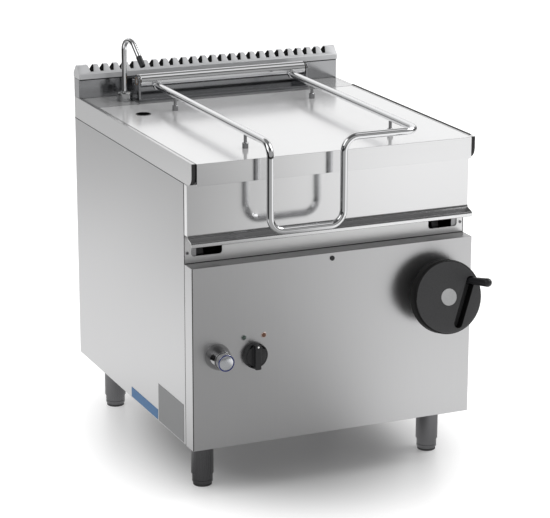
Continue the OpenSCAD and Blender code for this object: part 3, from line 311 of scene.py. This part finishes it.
def lathe(outline, centre, axis, steps=64):
    """A turned form: outline gives radius and distance along the axis."""
    form = bmesh.new()
    along = Vector(axis).normalized()
    aside = along.orthogonal().normalized()
    across = along.cross(aside)
    rings = []
    for radius, at in outline:
        if radius == 0:
            rings.append([form.verts.new(Vector(centre) + along * at)])
            continue
        ring = []
        for k in range(steps):
            angle = 2 * math.pi * k / steps
            way = aside * math.cos(angle) + across * math.sin(angle)
            ring.append(form.verts.new(Vector(centre) + along * at + way * radius))
        rings.append(ring)
    for low, high in zip(rings, rings[1:]):
        for k in range(steps):
            corners = [
                low[k % len(low)],
                low[(k + 1) % len(low)],
                high[(k + 1) % len(high)],
                high[k % len(high)],
            ]
            corners = list(dict.fromkeys(corners))
            if len(corners) > 2:
                form.faces.new(corners)
    return as_mesh(form, "turned")


def middle(node):
    low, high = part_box(node)
    return [(a + b) / 2 for a, b in zip(low, high)]


def polish(tint, rough):
    """Polished metal with faint wipe marks."""

    def build(place):
        wipe = noise(place, 60.0, 4.0)
        haze = noise(place, 9.0)
        return {
            "Base Color": blend_colours(haze, [0.96 * c for c in tint], tint),
            "Roughness": rough * 0.7 + wipe * rough * 0.5 + haze * rough * 0.3,
            "Normal": relief(wipe, 0.02),
        }

    return build


zinc = finish("zinc", polish((0.3, 0.3, 0.31), 0.22), Metallic=1.0)
soften("fascia_screws", zinc, "cabinet", 0.0008, 3)
toward_front = (0, -1, 0)
screw_low, screw_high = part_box("fascia_screws")
screw_r, screw_z = (screw_high[2] - screw_low[2]) / 2, (screw_high[2] + screw_low[2]) / 2
# Painted shade: a thin black disc on each screw head stands in its recess.
recess_r, recess_in, recess_out = 0.0019, -0.0004, 0.0001
recess = [(0, recess_in), (recess_r, recess_in), (recess_r, recess_out), (0, recess_out)]
for side, x in (("left", screw_low[0] + screw_r), ("right", screw_high[0] - screw_r)):
    hollow = lathe(recess, (x, screw_low[1], screw_z), toward_front, 24)
    put("screw_recess_shade_" + side, hollow, painted_shade_black, "cabinet", like="fascia_screws")
burnished = finish("burnished", polish((0.06, 0.06, 0.062), 0.3), Metallic=1.0)
soften("panel_lock", burnished, "lock", 0.0005, like="spindle_bearings")

# Worktop: two folded side strips, the rear deck, and the flue with its notched cap. The sheet is
# ground along the depth on the strips and across on the flue. Black bars of painted shadow lie in
# the gap between the left strip and the lid, under the cap's step and along the right strip's outer
# edge, and the strips' front ends and the inside of the cap are painted black as shade.
strip_steel = finish("strip_steel", ground_sheet((0.7, 0.7, 0.705), 0.22, 1), Metallic=1.0)
strips = soften("deck_side_strips", strip_steel, "cabinet", 0.0008)
strip_low, strip_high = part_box("deck_side_strips")
# Painted shade: the strips' front end faces are black.
strip_end_deep, facing = 0.032, 0.3
end_y = strip_low[1] + strip_end_deep
pick_out(strips, painted_shade_black, lambda face: face.normal.y < -facing and face.center.y < end_y)
lid_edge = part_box("lid_skin")[0][0]
# Painted shadow: a black bar in the gap between the left strip and the lid.
shadow_from_edge, shadow_from_front, shadow_deep, shadow_gap = 0.011, 0.002, 0.004, 0.0002
shadow_line(
    "joint_left",
    (strip_low[0] + shadow_from_edge, strip_low[1] + shadow_from_front, strip_high[2] - shadow_deep),
    (lid_edge - shadow_gap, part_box("rear_deck")[0][1], strip_high[2] - shadow_gap),
)
# Painted shadow: a black bar along the right strip's outer top edge.
shadow_wide, shadow_tall, shadow_start, shadow_end = 0.0055, 0.003, 0.022, 0.74
shadow_line(
    "bead_right",
    (strip_high[0] - shadow_wide, strip_low[1] + shadow_start, strip_high[2] - shadow_tall),
    (strip_high[0] + proud, strip_low[1] + shadow_end, strip_high[2] + shadow_tall / 3),
)
deck_steel = finish("deck_steel", ground_sheet((0.68, 0.68, 0.685), 0.18, 0), Metallic=0.7)
dress(deck_steel, "rear_deck")
flue_steel = finish("flue_steel", ground_sheet((0.43, 0.435, 0.445), 0.16, 0), Metallic=1.0)
soften("flue_upstand", flue_steel, "cabinet", 0.0006)
cap_steel = finish("cap_steel", ground_sheet((0.6, 0.605, 0.615), 0.3, 0), Metallic=0.6)
cap = soften("flue_cap", cap_steel, "cabinet", 0.0006)
cap_y = middle("flue_cap")[1]


def inside_cap(face):
    inward = face.normal.y if face.center.y < cap_y else -face.normal.y
    return inward > facing or face.normal.z < -facing


# Painted shade: the cap's inner faces are black, so its notches look dark inside.
pick_out(cap, painted_shade_black, inside_cap)
flue_low, flue_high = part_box("flue_upstand")
# Painted shadow: a black bar on the flue's front, under the cap's step.
flue_joint_tall = 0.0034
shadow_line(
    "shadow_line_flue",
    (flue_low[0] + joint_in, flue_low[1] - proud, flue_high[2] - flue_joint_tall),
    (flue_high[0] - joint_in, flue_low[1], flue_high[2]),
)


# Plates on the left panel: one of aluminium and one of blue film, both plain and glued on. They
# are one node, so their finish changes at the gap between them.
def plate_faces(place):
    plates_part_y = -0.1115
    film = place.node("SeparateXYZ", None, {0: place}, out=1) > plates_part_y
    worn = noise(place, 30.0, 4.0)
    blue = blend_colours(worn, (0.03, 0.115, 0.26), (0.045, 0.15, 0.32))
    grey = blend_colours(worn, (0.17, 0.172, 0.175), (0.22, 0.222, 0.225))
    return {
        "Base Color": place.node("Mix", {"data_type": "RGBA"}, {0: film, 6: grey, 7: blue}, out=2),
        "Roughness": 0.4 + worn * 0.2,
        "Normal": relief(worn, 0.05),
    }


dress(finish("plate_faces", plate_faces, Metallic=0.1), "side_plates_blank")

# Legs: a ground steel sleeve welded under the cabinet, a turned tube that screws out of it to
# level the unit, with a groove to grip it, and a black pad pressed on the tube's end.
leg_steel = finish("leg_steel", ground_sheet((0.18, 0.18, 0.185), 0.28, 2), Metallic=1.0)
soften("leg_sleeves", leg_steel, "cabinet", 0.0008)
pad_look = speckled((0.02, 0.02, 0.021), (0.05, 0.05, 0.052), 0.45, 0.2, (200.0, 4.0), (80.0, 2.0))
pad_black = finish("pad_black", pad_look)
upward = (0, 0, 1)
pad_r, pad_top, pad_edge = 0.025, 0.0052, 0.0012
tube_r, tube_start, tube_top, groove_deep = 0.0274, 0.009, 0.0996, 0.0012
groove_r = tube_r - groove_deep
tube = [(0, pad_top), (pad_r - 0.001, pad_top), (pad_r, 0.0062), (pad_r, tube_start)]
tube += [(groove_r, tube_start), (tube_r, 0.0102), (tube_r, 0.016), (groove_r, 0.0166)]
tube += [(groove_r, 0.0186), (tube_r, 0.0192), (tube_r, tube_top), (0, tube_top)]
foot = [(0, 0), (pad_r - pad_edge, 0), (pad_r, pad_edge), (pad_r, pad_top), (0, pad_top)]
for corner_name in ("front_left", "rear_left", "front_right", "rear_right"):
    node = "leg_" + corner_name
    body = "leg_" + "".join(word[0] for word in corner_name.split("_"))
    x, y, _ = middle(node)
    put(node + "_tube", lathe(tube, (x, y, 0), upward), leg_steel, body, (node,))
    put(node + "_pad", lathe(foot, (x, y, 0), upward), pad_black, body, like="lid_seal")


# Supply and control parts inside the cabinet: fittings of turned brass, a bent copper pipe to the
# spout and pressed bronze bushes. The regulator and the electrical unit have moulded housings.
def plain_metal(dark, light, rough):
    def build(place):
        spots = noise(place, 45.0, 5.0)
        return {
            "Base Color": blend_colours(spots, dark, light),
            "Roughness": rough + spots * 0.12,
            "Normal": relief(spots, 0.06, 0.0003),
        }

    return build


brass = finish("brass", plain_metal((0.5, 0.34, 0.12), (0.66, 0.48, 0.2), 0.28), Metallic=1.0)
dress(brass, "tap_valve_body", "inlet_fittings")
copper = finish("copper", plain_metal((0.52, 0.26, 0.16), (0.7, 0.38, 0.26), 0.26), Metallic=1.0)
dress(copper, "water_pipe")
bronze = finish("bronze", plain_metal((0.42, 0.26, 0.12), (0.56, 0.36, 0.18), 0.35), Metallic=1.0)
dress(bronze, "bronze_bushes")
moulded = finish("moulded", plain_metal((0.52, 0.49, 0.41), (0.6, 0.57, 0.49), 0.45))
dress(moulded, "regulator_body", "electrical_unit")


# Lamps: a small domed plastic lens, unlit and so nearly dark, with its stem behind it. A thin metal
# rim holds it in the face of the front box; the orange lamp's rim is tinted warm, a painted glow
# of its lens.
def lens(dark, light):
    def build(place):
        ribs = noise(place, 350.0, 1.0)
        return {"Base Color": blend_colours(ribs, dark, light), "Roughness": 0.12 + ribs * 0.06}

    return build


lamp_looks = {
    "lamp_green": (
        lens((0.02, 0.035, 0.028), (0.04, 0.06, 0.05)),
        plain_metal((0.3, 0.31, 0.31), (0.4, 0.41, 0.41), 0.3),
    ),
    # Painted glow: the orange lamp's rim is tinted warm.
    "lamp_orange": (
        lens((0.07, 0.028, 0.014), (0.12, 0.05, 0.028)),
        plain_metal((0.62, 0.5, 0.45), (0.7, 0.58, 0.53), 0.3),
    ),
}
lens_r, lens_seat, lens_rise = 0.0058, 0.0015, 0.0024
stem_r, stem_long, lamp_deep = 0.0055, 0.028, 0.030
dome = [(0, -stem_long), (stem_r, -stem_long), (lens_r, -0.001)]
dome_steps = 8
for step in range(dome_steps):
    angle = step * math.pi / (2 * dome_steps)
    dome.append((lens_r * math.cos(angle), lens_seat + lens_rise * math.sin(angle)))
dome.append((0, lens_seat + lens_rise))
rim_r = 0.0075
rim = [(lens_r, 0), (rim_r, 0), (rim_r, 0.001), (rim_r - 0.0005, lens_seat), (lens_r, lens_seat)]
for node, (lens_look, rim_look) in lamp_looks.items():
    x, _, z = middle(node)
    centre = (x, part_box(node)[1][1] - lamp_deep, z)
    glass = finish(node + "_lens", lens_look, Coat_Weight=0.6)
    put(node + "_dome", lathe(dome, centre, toward_front), glass, "cabinet", (node,))
    rim_metal = finish(node + "_rim_metal", rim_look, Metallic=0.7)
    put(node + "_rim", lathe(rim, centre, toward_front), rim_metal, "cabinet", like="tap_bell")

# Regulator knob: moulded in black phenolic with a round skirt and a pinched grip bar, and pushed on
# the regulator's shaft. Its index dot is white paint.
phenolic_look = speckled((0.008, 0.008, 0.009), (0.02, 0.02, 0.022), 0.3, 0.15, pitted=True)
black_phenolic = finish("black_phenolic", phenolic_look, Specular_IOR_Level=0.5)
soften("regulator_knob", black_phenolic, "knob", 0.0016, 3)
paint_look = speckled((0.72,) * 3, (0.82, 0.82, 0.81), 0.4, 0.2, (400.0, 2.0), (300.0, 2.0))
white_paint = finish("white_paint", paint_look)
knob_low, knob_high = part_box("regulator_knob")
knob_x, _, knob_z = middle("regulator_knob")
dot_r, dot_in, dot_out, dot_crown, dot_from_edge = 0.0024, -0.0004, 0.0002, 0.0003, 0.005
dot = [(0, dot_in), (dot_r, dot_in), (dot_r, dot_out), (0, dot_crown)]
dot_z = knob_z + (knob_high[0] - knob_low[0]) / 2 - dot_from_edge
dot_mesh = lathe(dot, (knob_x, knob_low[1], dot_z), toward_front)
put("knob_dot", dot_mesh, white_paint, "knob", like="handwheel_cap")

# Push tap: a turned bell on the panel, and in its mouth a button with a dark blue plastic ring and
# a bright face. Bell and button are chromed brass; the bell's chrome is tinted about half as bright
# as the button's, as painted shade.
# Painted shade: the bell's chrome is tinted far darker than the button's.
shaded_bell_chrome = finish("shaded_bell_chrome", polish((0.42, 0.42, 0.425), 0.06), Metallic=1.0)
soften("tap_bell", shaded_bell_chrome, "cabinet", 0.0008)
chrome = finish("chrome", polish((0.86, 0.865, 0.875), 0.05), Metallic=1.0)
soften("tap_button", chrome, "button", 0.0008, 3, like="tap_bell")
tap_x, _, tap_z = middle("tap_button")
tap_front = (tap_x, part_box("tap_button")[0][1], tap_z)
blue_look = speckled((0.01, 0.015, 0.09), (0.02, 0.03, 0.14), 0.22, 0.1, (120.0, 3.0), (60.0, 2.0))
blue_ring = finish("blue_ring", blue_look)
sunk, lift = -0.0014, 0.0005
ring_in, ring_out = 0.0191, 0.0222
ring = [(ring_in, sunk), (ring_in, 0.0001), (ring_in + lift, lift)]
ring += [(ring_out - 0.0006, lift), (ring_out, 0), (ring_out, -0.0006)]
ring_mesh = lathe(ring, tap_front, toward_front)
put("tap_button_ring", ring_mesh, blue_ring, "button", like="tap_button")
disc_r, disc_edge = 0.0188, 0.0002
disc = [(0, sunk), (disc_r, sunk), (disc_r, -disc_edge), (0.018, disc_edge), (0, lift)]
tap_silver = finish("tap_silver", polish((0.8, 0.82, 0.85), 0.2), Metallic=1.0)
disc_mesh = lathe(disc, tap_front, toward_front)
put("tap_button_face", disc_mesh, tap_silver, "button", like="tap_bell")

# Water spout: a chromed base collar on the deck, in which a bent chromed tube swivels, and a black
# nozzle screwed on the tube's end.
collar_steel = finish("collar_steel", polish((0.45, 0.455, 0.46), 0.06), Metallic=1.0)
soften("faucet_base", collar_steel, "cabinet", 0.0008)


def sweep(points, bend, radius, steps=40, turns=14):
    """A round bar or tube that follows corner points, with one bend radius."""
    path = [Vector(points[0])]
    for before, corner, after in zip(points, points[1:], points[2:]):
        before, corner, after = Vector(before), Vector(corner), Vector(after)
        into = (corner - before).normalized()
        out = (after - corner).normalized()
        turn = into.angle(out)
        start = corner - into * bend * math.tan(turn / 2)
        side = (out - into * into.dot(out)).normalized()
        for k in range(turns + 1):
            angle = turn * k / turns
            inward = side * bend * (1 - math.cos(angle))
            path.append(start + inward + into * bend * math.sin(angle))
    path.append(Vector(points[-1]))
    form = bmesh.new()
    aside = (path[1] - path[0]).orthogonal().normalized()
    rings = []
    for i, at in enumerate(path):
        before = path[max(i - 1, 0)]
        after = path[min(i + 1, len(path) - 1)]
        along = (after - before).normalized()
        aside = (aside - along * aside.dot(along)).normalized()
        across = along.cross(aside)
        ring = []
        for k in range(steps):
            angle = 2 * math.pi * k / steps
            way = aside * math.cos(angle) + across * math.sin(angle)
            ring.append(form.verts.new(at + way * radius))
        rings.append(ring)
    for low, high in zip(rings, rings[1:]):
        for k in range(steps):
            form.faces.new([low[k], low[(k + 1) % steps], high[(k + 1) % steps], high[k]])
    form.faces.new(rings[0][::-1])
    form.faces.new(rings[-1])
    return as_mesh(form, "swept")


spout_bend, spout_r, spout_turn = 0.033, 0.0075, math.radians(138)
base_tall, riser_sunk, riser_straight, end_straight = 0.027, 0.004, 0.1425, 0.036
base_x, base_y, _ = middle("faucet_base")
base_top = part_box("faucet_base")[1][2]
bend_reach = spout_bend * math.tan(spout_turn / 2)
yaw = math.radians(-80)
out = Vector((math.cos(yaw), math.sin(yaw), 0))
fall = out * math.sin(spout_turn) + Vector((0, 0, math.cos(spout_turn)))
riser = Vector((base_x, base_y, base_top - riser_sunk))
corner = Vector((riser.x, riser.y, base_top - base_tall + riser_straight + bend_reach))
tip = corner + fall * (bend_reach + end_straight)
spout_mesh = sweep([riser, corner, tip], spout_bend, spout_r, turns=28)
put("spout_tube", spout_mesh, chrome, "spout", ("water_spout",))
nozzle_r, nozzle_neck, mouth_r = 0.0082, 0.0079, 0.0062
nozzle_end, mouth_floor = 0.0325, 0.026
nozzle = [(0, 0), (spout_r, 0), (nozzle_r, 0.0008), (nozzle_r, 0.024)]
nozzle += [(nozzle_neck, 0.0246), (nozzle_neck, 0.0258), (nozzle_r, 0.0264), (nozzle_r, 0.0312)]
nozzle += [(0.007, nozzle_end), (mouth_r, nozzle_end), (mouth_r, mouth_floor), (0, mouth_floor)]
put("spout_end", lathe(nozzle, tip, fall, 40), black_phenolic, "spout", ("spout_nozzle",))

# Tilting drive: forged bearings and a guide rod bolted into the cabinet, a machined screw spindle,
# and the nut that it moves, whose slotted plate lifts the arm welded to the pan.
forged = finish("forged", plain_metal((0.12, 0.12, 0.125), (0.2, 0.2, 0.205), 0.4), Metallic=0.9)
dress(forged, "spindle_bearings", "nut_carriage", "lift_arm", "pan_arms")
machined = finish("machined", plain_metal((0.5, 0.5, 0.51), (0.62, 0.62, 0.63), 0.25), Metallic=1.0)
dress(machined, "pivot_pins", "screw_spindle")

# Handwheel: a moulded black phenolic disc with a deep rounded rim, pressed on the spindle. It has a
# grey plastic cap and a groove into which the crank grip folds. The disc's faces that do not look
# to the front, the rim's sides, are tinted blacker as painted shade.
wheel_look = speckled((0.026, 0.026, 0.027), (0.045, 0.045, 0.047), 0.36, 0.15, pitted=True)
wheel_black = finish("wheel_black", wheel_look)
# Painted shade: the rim's sides are tinted blacker than the disc's face.
painted_shade_rim_look = speckled((0.004,) * 3, (0.009,) * 3, 0.4, 0.15)
painted_shade_rim = finish("painted_shade_rim", painted_shade_rim_look, Specular_IOR_Level=0.2)
wheel = soften("handwheel_disc", wheel_black, "handwheel", 0.0016, 3)
pick_out(wheel, painted_shade_rim, lambda face: face.normal.y > -face_on)
grey_dark, grey_light = (0.3, 0.302, 0.305), (0.37, 0.372, 0.375)
cap_look = speckled(grey_dark, grey_light, 0.32, 0.12, (150.0, 4.0), (90.0, 2.0))
soften("handwheel_cap", finish("cap_grey", cap_look), "handwheel", 0.0008, 3)
soften("crank_grip", black_phenolic, "crank", 0.0008)

# Pan: a welded well with its rim, casing, base plate and heating rods, and the polished apron
# whose lower end is bent out into the pouring lip. The lip's sloped and under faces are tinted far
# darker than the apron, as painted shade.
cooking = finish("cooking", ground_sheet((0.55, 0.55, 0.54), 0.3, 0), Metallic=1.0)
dress(cooking, "pan_well", "pan_rim")
dress(inner_steel, "pan_casing", "heat_shield", "lid_hinge_bracket")
element_look = plain_metal((0.06, 0.055, 0.05), (0.12, 0.11, 0.1), 0.5)
dress(finish("element", element_look, Metallic=0.6), "heating_elements")
plate_iron = finish("plate_iron", plain_metal((0.1,) * 3, (0.17,) * 3, 0.5), Metallic=0.7)
dress(plate_iron, "pan_base_plate")
apron_steel = finish("apron_steel", ground_sheet((0.85, 0.85, 0.855), 0.14, 0, 0.02), Metallic=1.0)
# Painted shade: the lip's sloped and under faces get a far darker tint of the apron's sheet.
shaded_lip_steel = finish("shaded_lip_steel", ground_sheet((0.27, 0.27, 0.273), 0.12, 0, 0.01), Metallic=1.0)


def round_corner(before, corner, after, radius, steps=6):
    """Points of a bend in the YZ plane."""
    into = (corner - before).normalized()
    out = (after - corner).normalized()
    turn = into.angle(out)
    start = corner - into * radius * math.tan(turn / 2)
    side = (out - into * into.dot(out)).normalized()
    angles = [turn * k / steps for k in range(steps + 1)]
    return [start + side * radius * (1 - math.cos(a)) + into * radius * math.sin(a) for a in angles]


def folded(points, radii, thick, wide):
    """Sheet metal folded along X: points of its outer side, with a bend radius at each corner."""
    line = [points[0]]
    for before, corner, after, radius in zip(points, points[1:], points[2:], radii):
        line += round_corner(before, corner, after, radius)
    line.append(points[-1])
    inner = []
    for i, at in enumerate(line):
        along = (line[min(i + 1, len(line) - 1)] - line[max(i - 1, 0)]).normalized()
        inner.append(at + along.cross(Vector((1, 0, 0))) * thick)
    form = bmesh.new()
    ends = [[form.verts.new((x, p.y, p.z)) for p in line + inner[::-1]] for x in (-wide, wide)]
    count = len(ends[0])
    for k in range(count):
        after = (k + 1) % count
        form.faces.new([ends[0][k], ends[0][after], ends[1][after], ends[1][k]])
    for ring in ends:
        for k in range(len(line) - 1):
            form.faces.new([ring[k], ring[k + 1], ring[count - 2 - k], ring[count - 1 - k]])
    return as_mesh(form, "folded")


apron_low, apron_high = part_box("pan_apron")
sheet, lip_reach, hem, side_deep = 0.0015, 0.027, 0.003, 0.0225
fold_tall, roll_tall, side_above_fold = 0.0205, 0.0125, 0.003
fold_r, lip_r, hem_r = 0.008, 0.0055, 0.0014
lip_y, low_z = apron_low[1], apron_low[2]
face_y = lip_y + lip_reach
outline = [
    Vector((0, face_y, apron_high[2])),
    Vector((0, face_y, low_z + fold_tall)),
    Vector((0, lip_y, low_z + roll_tall)),
    Vector((0, lip_y, low_z)),
    Vector((0, lip_y + hem, low_z)),
]
apron_mesh = folded(outline, (fold_r, lip_r, hem_r), -sheet, half_wide)
apron = put("apron_front", apron_mesh, apron_steel, "pan", ("pan_apron",), sharp=30)
pick_out(apron, shaded_lip_steel, lambda face: abs(face.normal.z) > facing and face.center.y < face_y)
for side, x in (("left", -half_wide), ("right", half_wide - sheet)):
    near = (x, face_y + sheet / 2, low_z + fold_tall + side_above_fold)
    beyond = (x + sheet, -sheet * 2 + face_y + side_deep, apron_high[2])
    put("apron_side_" + side, box_mesh(near, beyond), apron_steel, "pan", like="pan_apron")

# Lid: an outer skin of bright sheet, satin on top and polished on its folded skirt. Below it are a
# liner, a collar round the fill hole and a rubber seal that lies on the pan's rim.
lid_steel = finish("lid_steel", ground_sheet((0.78, 0.78, 0.785), 0.14, 0, 0.02), Metallic=0.5)
lid_skirt = finish("lid_skirt", ground_sheet((0.83, 0.83, 0.835), 0.13, 0, 0.02), Metallic=1.0)
lid_skin = soften("lid_skin", lid_steel, "lid", 0.001, 3)
face_up = 0.5
pick_out(lid_skin, lid_skirt, lambda face: face.normal.z < face_up)
dress(inner_steel, "lid_liner")
dress(burnished, "fill_collar")
rubber_look = speckled((0.015,) * 3, (0.035,) * 3, 0.6, 0.2, (90.0, 4.0), (200.0, 2.0))
dress(finish("seal_rubber", rubber_look), "lid_seal")

# Lid hinge: a polished tube that turns with the lid, on a journal in each end cheek of a housing
# folded from sheet. The housing is screwed to the pan's rear.
housing_steel = finish("housing_steel", polish((0.36, 0.365, 0.375), 0.1), Metallic=1.0)
soften("lid_hinge_housing", housing_steel, "pan", 0.0008)
tube_low, tube_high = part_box("hinge_tube")
hinge = Vector((0, (tube_low[1] + tube_high[1]) / 2, (tube_low[2] + tube_high[2]) / 2))
hinge_r = (tube_high[2] - tube_low[2]) / 2
half, half_with_journal, journal_r, roll_edge = 0.252, 0.2598, 0.008, 0.001
roll = [(0, -half_with_journal), (journal_r, -half_with_journal), (journal_r, -half)]
roll += [(hinge_r - roll_edge, -half), (hinge_r, roll_edge - half), (hinge_r, half - roll_edge)]
roll += [(hinge_r - roll_edge, half), (journal_r, half), (journal_r, half_with_journal)]
roll += [(0, half_with_journal)]
put("hinge_roll", lathe(roll, hinge, (1, 0, 0), 96), chrome, "lid", ("hinge_tube",))

# Handle: one polished tube bent into two bars and a front loop, welded to the hinge tube, on four
# posts with a turned collar at each foot.
bar_r, wide, bend = 0.0095, 0.207, 0.038
bar_z, loop_z, loop_x, short_by = 0.944, 0.717, -0.003, 0.001
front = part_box("lid_handle")[0][1] + bar_r
end_y = hinge.y - hinge_r / 2 - short_by
corners = [(-wide, end_y, bar_z), (-wide, front, bar_z), (-wide, front, loop_z)]
corners += [(loop_x, front, loop_z), (loop_x, front, bar_z), (wide, front, bar_z)]
corners += [(wide, end_y, bar_z)]
put("handle_tube", sweep(corners, bend, bar_r), chrome, "lid", ("lid_handle",))
sleeve_long, sleeve_r = 0.011, bar_r + 0.0018
sleeve = [(bar_r, 0), (bar_r + 0.0014, 0), (sleeve_r, 0.0006)]
sleeve += [(sleeve_r, sleeve_long), (bar_r, sleeve_long)]
for side, x in (("left", -wide), ("right", wide)):
    start = (x, hinge.y - hinge_r - sleeve_long, bar_z)
    sleeve_mesh = lathe(sleeve, start, (0, 1, 0), 48)
    put("handle_sleeve_" + side, sleeve_mesh, chrome, "lid", like="lid_handle")
post_low, post_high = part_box("bar_posts")
post_steel = finish("post_steel", polish((0.3, 0.3, 0.305), 0.07), Metallic=1.0)
collar_r, collar_edge, collar_tall, post_r, fillet = 0.008, 0.0012, 0.015, 0.00425, 0.0006
post_z, into_bar = post_low[2], 0.0012
post_tall = bar_z - bar_r - post_z + into_bar
stem = [(0, 0), (collar_r, 0), (collar_r, 0.0135), (collar_r - collar_edge, collar_tall)]
stem += [(post_r + fillet, collar_tall), (post_r, collar_tall + fillet)]
stem += [(post_r, post_tall), (0, post_tall)]
for x in (-wide, wide):
    for y in (post_low[1] + collar_r, post_high[1] - collar_r):
        name = "post_%s_%s" % ("left" if x < 0 else "right", "front" if y < 0 else "rear")
        stands_for = ("bar_posts",) if name == "post_left_front" else ()
        post_mesh = lathe(stem, (x, y, post_z), upward, 40)
        put(name, post_mesh, post_steel, "lid", stands_for, "bar_posts")


# Studio: a pale floor that turns white beside the unit, and a white surround. The floor's glow is
# nil under and near the unit and rises beside it, a painted shadow that deepens the floor's own
# shadow; in what the metal mirrors, the floor is painted darker near the unit too. What the metal
# mirrors is darker overhead, in front, at two screens beside the unit and along the horizon, with
# one soft bright patch above.
def slope(value, low, high, start, end):
    """Maps a value from the span low to high on the span start to end, with soft ends."""
    settings = {"interpolation_type": "SMOOTHSTEP"}
    return value.node("MapRange", settings, {0: value, 1: low, 2: high, 3: start, 4: end})


def toward(way, direction):
    """How far a way points in a direction."""
    return way.node("VectorMath", {"operation": "DOT_PRODUCT"}, {0: way, 1: direction}, out="Value")


def screens(way):
    """The light that two dark screens leave, one on each side."""
    left = slope(toward(way, (-0.99, 0.14, 0)), 0.64, 0.84, 0.0, 0.96)
    right = slope(toward(way, (0.96, 0.28, 0)), 0.82, 0.95, 0.0, 0.8)
    return (1.0 - left) * (1.0 - right)


floor_mesh = bpy.data.meshes.new("floor")
size, floor_z = 40.0, -0.0005
floor_corners = [(-size, -size, 0), (size, -size, 0), (size, size, 0), (-size, size, 0)]
floor_mesh.from_pydata(floor_corners, [], [(0, 1, 2, 3)])
floor = bpy.data.objects.new("floor", floor_mesh)
bpy.context.scene.collection.objects.link(floor)
floor.location.z = floor_z
floor_look = bpy.data.materials.new("floor")
floor_look.use_nodes = True
floor_mesh.materials.append(floor_look)
tree = floor_look.node_tree
ground = Wire(tree).node("TexCoord", out="Object")
outward = ground.node("VectorMath", {"operation": "NORMALIZE"}, {0: ground})
span = ground.node("VectorMath", {"operation": "LENGTH"}, {0: ground}, out="Value")
footprint = ground.node("VectorMath", {"operation": "MULTIPLY"}, {0: ground, 1: (1.25, 0.93, 0)})
beside = ground.node("VectorMath", {"operation": "LENGTH"}, {0: footprint}, out="Value")
shade = tree.nodes["Principled BSDF"]
shade.inputs["Base Color"].default_value = (0.55, 0.55, 0.55, 1)
shade.inputs["Roughness"].default_value = 0.4
shade.inputs["Emission Strength"].default_value = 1.0
# Painted shadow: the floor's glow is nil within the unit's footprint and full beside it.
tree.links.new(slope(beside, 0.3, 0.78, 0.0, 0.68).socket, shade.inputs["Emission Color"])
bright = slope(toward(outward, (0.71, -0.71, 0)), 0.84, 0.97, 0.0, 0.62)
back = slope(toward(outward, (0, 1, 0)), -0.5, 0.1, 0.38, 1.0)
fading = slope(toward(ground, (0, 1, 0)), 1.9, 3.8, 0.0, 0.35)
far = slope(span, 1.8, 2.6, 0.0, 1.0)
horizon = slope(span, 6.5, 9.0, 1.0, 0.08)
# Painted shadow: in what the metal mirrors, the floor is darker close to the unit.
near = slope(span, 0.3, 1.0, 0.55, 1.0)
far_screens = 1.0 - far * (1.0 - screens(outward))
mirrored = near * (bright + back) * (1.0 - fading) * far_screens * horizon
plain = mirrored.node("Emission", None, {"Color": mirrored})
glossy = mirrored.node("LightPath", out="Is Glossy Ray")
mix = mirrored.node("MixShader", None, {0: glossy, 1: Wire(tree, shade.outputs[0]), 2: plain})
tree.links.new(mix.socket, tree.nodes["Material Output"].inputs["Surface"])

world = bpy.data.worlds.new("studio")
bpy.context.scene.world = world
world.use_nodes = True
tree = world.node_tree
tree.nodes.clear()
way = Wire(tree).node("TexCoord", out="Generated")
height = toward(way, (0, 0, 1))
ceiling = slope(height, 0.5, 0.74, 1.0, 0.22)
behind = slope(toward(way, (0, 1, 0)), -0.2, 0.35, 0.36, 1.0)
skyline = slope(height, 0.02, 0.1, 0.08, 1.0)
aside = slope(toward(way, (-0.6, 0.8, 0)), 0.72, 0.96, 1.0, 0.5)
overhead = slope(toward(way, (0.386, -0.2, 0.9)), 0.945, 0.985, 0.0, 0.7)
level = screens(way) * ceiling * behind * skyline * aside + overhead
glossy = way.node("LightPath", out="Is Glossy Ray")
seen = way.node("LightPath", out="Is Camera Ray")
plain = 0.85 - 0.85 * seen
strength = glossy * level + (1.0 - glossy) * plain + seen
background = strength.node("Background", None, {"Color": (1, 1, 1, 1), "Strength": strength})
sky = tree.nodes.new("ShaderNodeOutputWorld")
tree.links.new(background.socket, sky.inputs["Surface"])

aim = Vector((0, 0, 0.5))
for name, place, power, width in (
    ("key", Vector((3.4, -0.7, 3.5)), 85, 2.4),
    ("fill", Vector((-3.0, -0.6, 3.2)), 30, 2.6),
):
    light = bpy.data.lights.new(name, "AREA")
    light.energy = power
    light.size = width
    lamp = bpy.data.objects.new(name, light)
    bpy.context.scene.collection.objects.link(lamp)
    lamp.location = place
    lamp.rotation_euler = (aim - place).to_track_quat("-Z", "Y").to_euler()

# Camera: the photograph's own view, solved from the cabinet's edges. Its centre lies at the middle
# of the picture, and it leans a little to one side.
eye = Vector((-2.3810, -5.4066, 2.2046))
turn, dip, lean = 0.413258, 0.278919, 0.00165
focal_pixels, picture_pixels, sensor_width = 2236.8, 550, 36.0
ahead = Vector((math.sin(turn) * math.cos(dip), math.cos(turn) * math.cos(dip), -math.sin(dip)))
level_right = Vector((math.cos(turn), -math.sin(turn), 0))
level_up = level_right.cross(ahead)
right = level_right * math.cos(lean) + level_up * math.sin(lean)
up = level_up * math.cos(lean) - level_right * math.sin(lean)
lens_data = bpy.data.cameras.new("camera")
lens_data.sensor_width = sensor_width
lens_data.lens = focal_pixels / picture_pixels * sensor_width
lens_data.clip_end = 100.0
camera = bpy.data.objects.new("camera", lens_data)
camera.matrix_world = Matrix.Translation(eye) @ Matrix((right, up, -ahead)).transposed().to_4x4()
bpy.context.scene.collection.objects.link(camera)
bpy.context.scene.camera = camera
bpy.context.scene.view_settings.view_transform = "Standard"
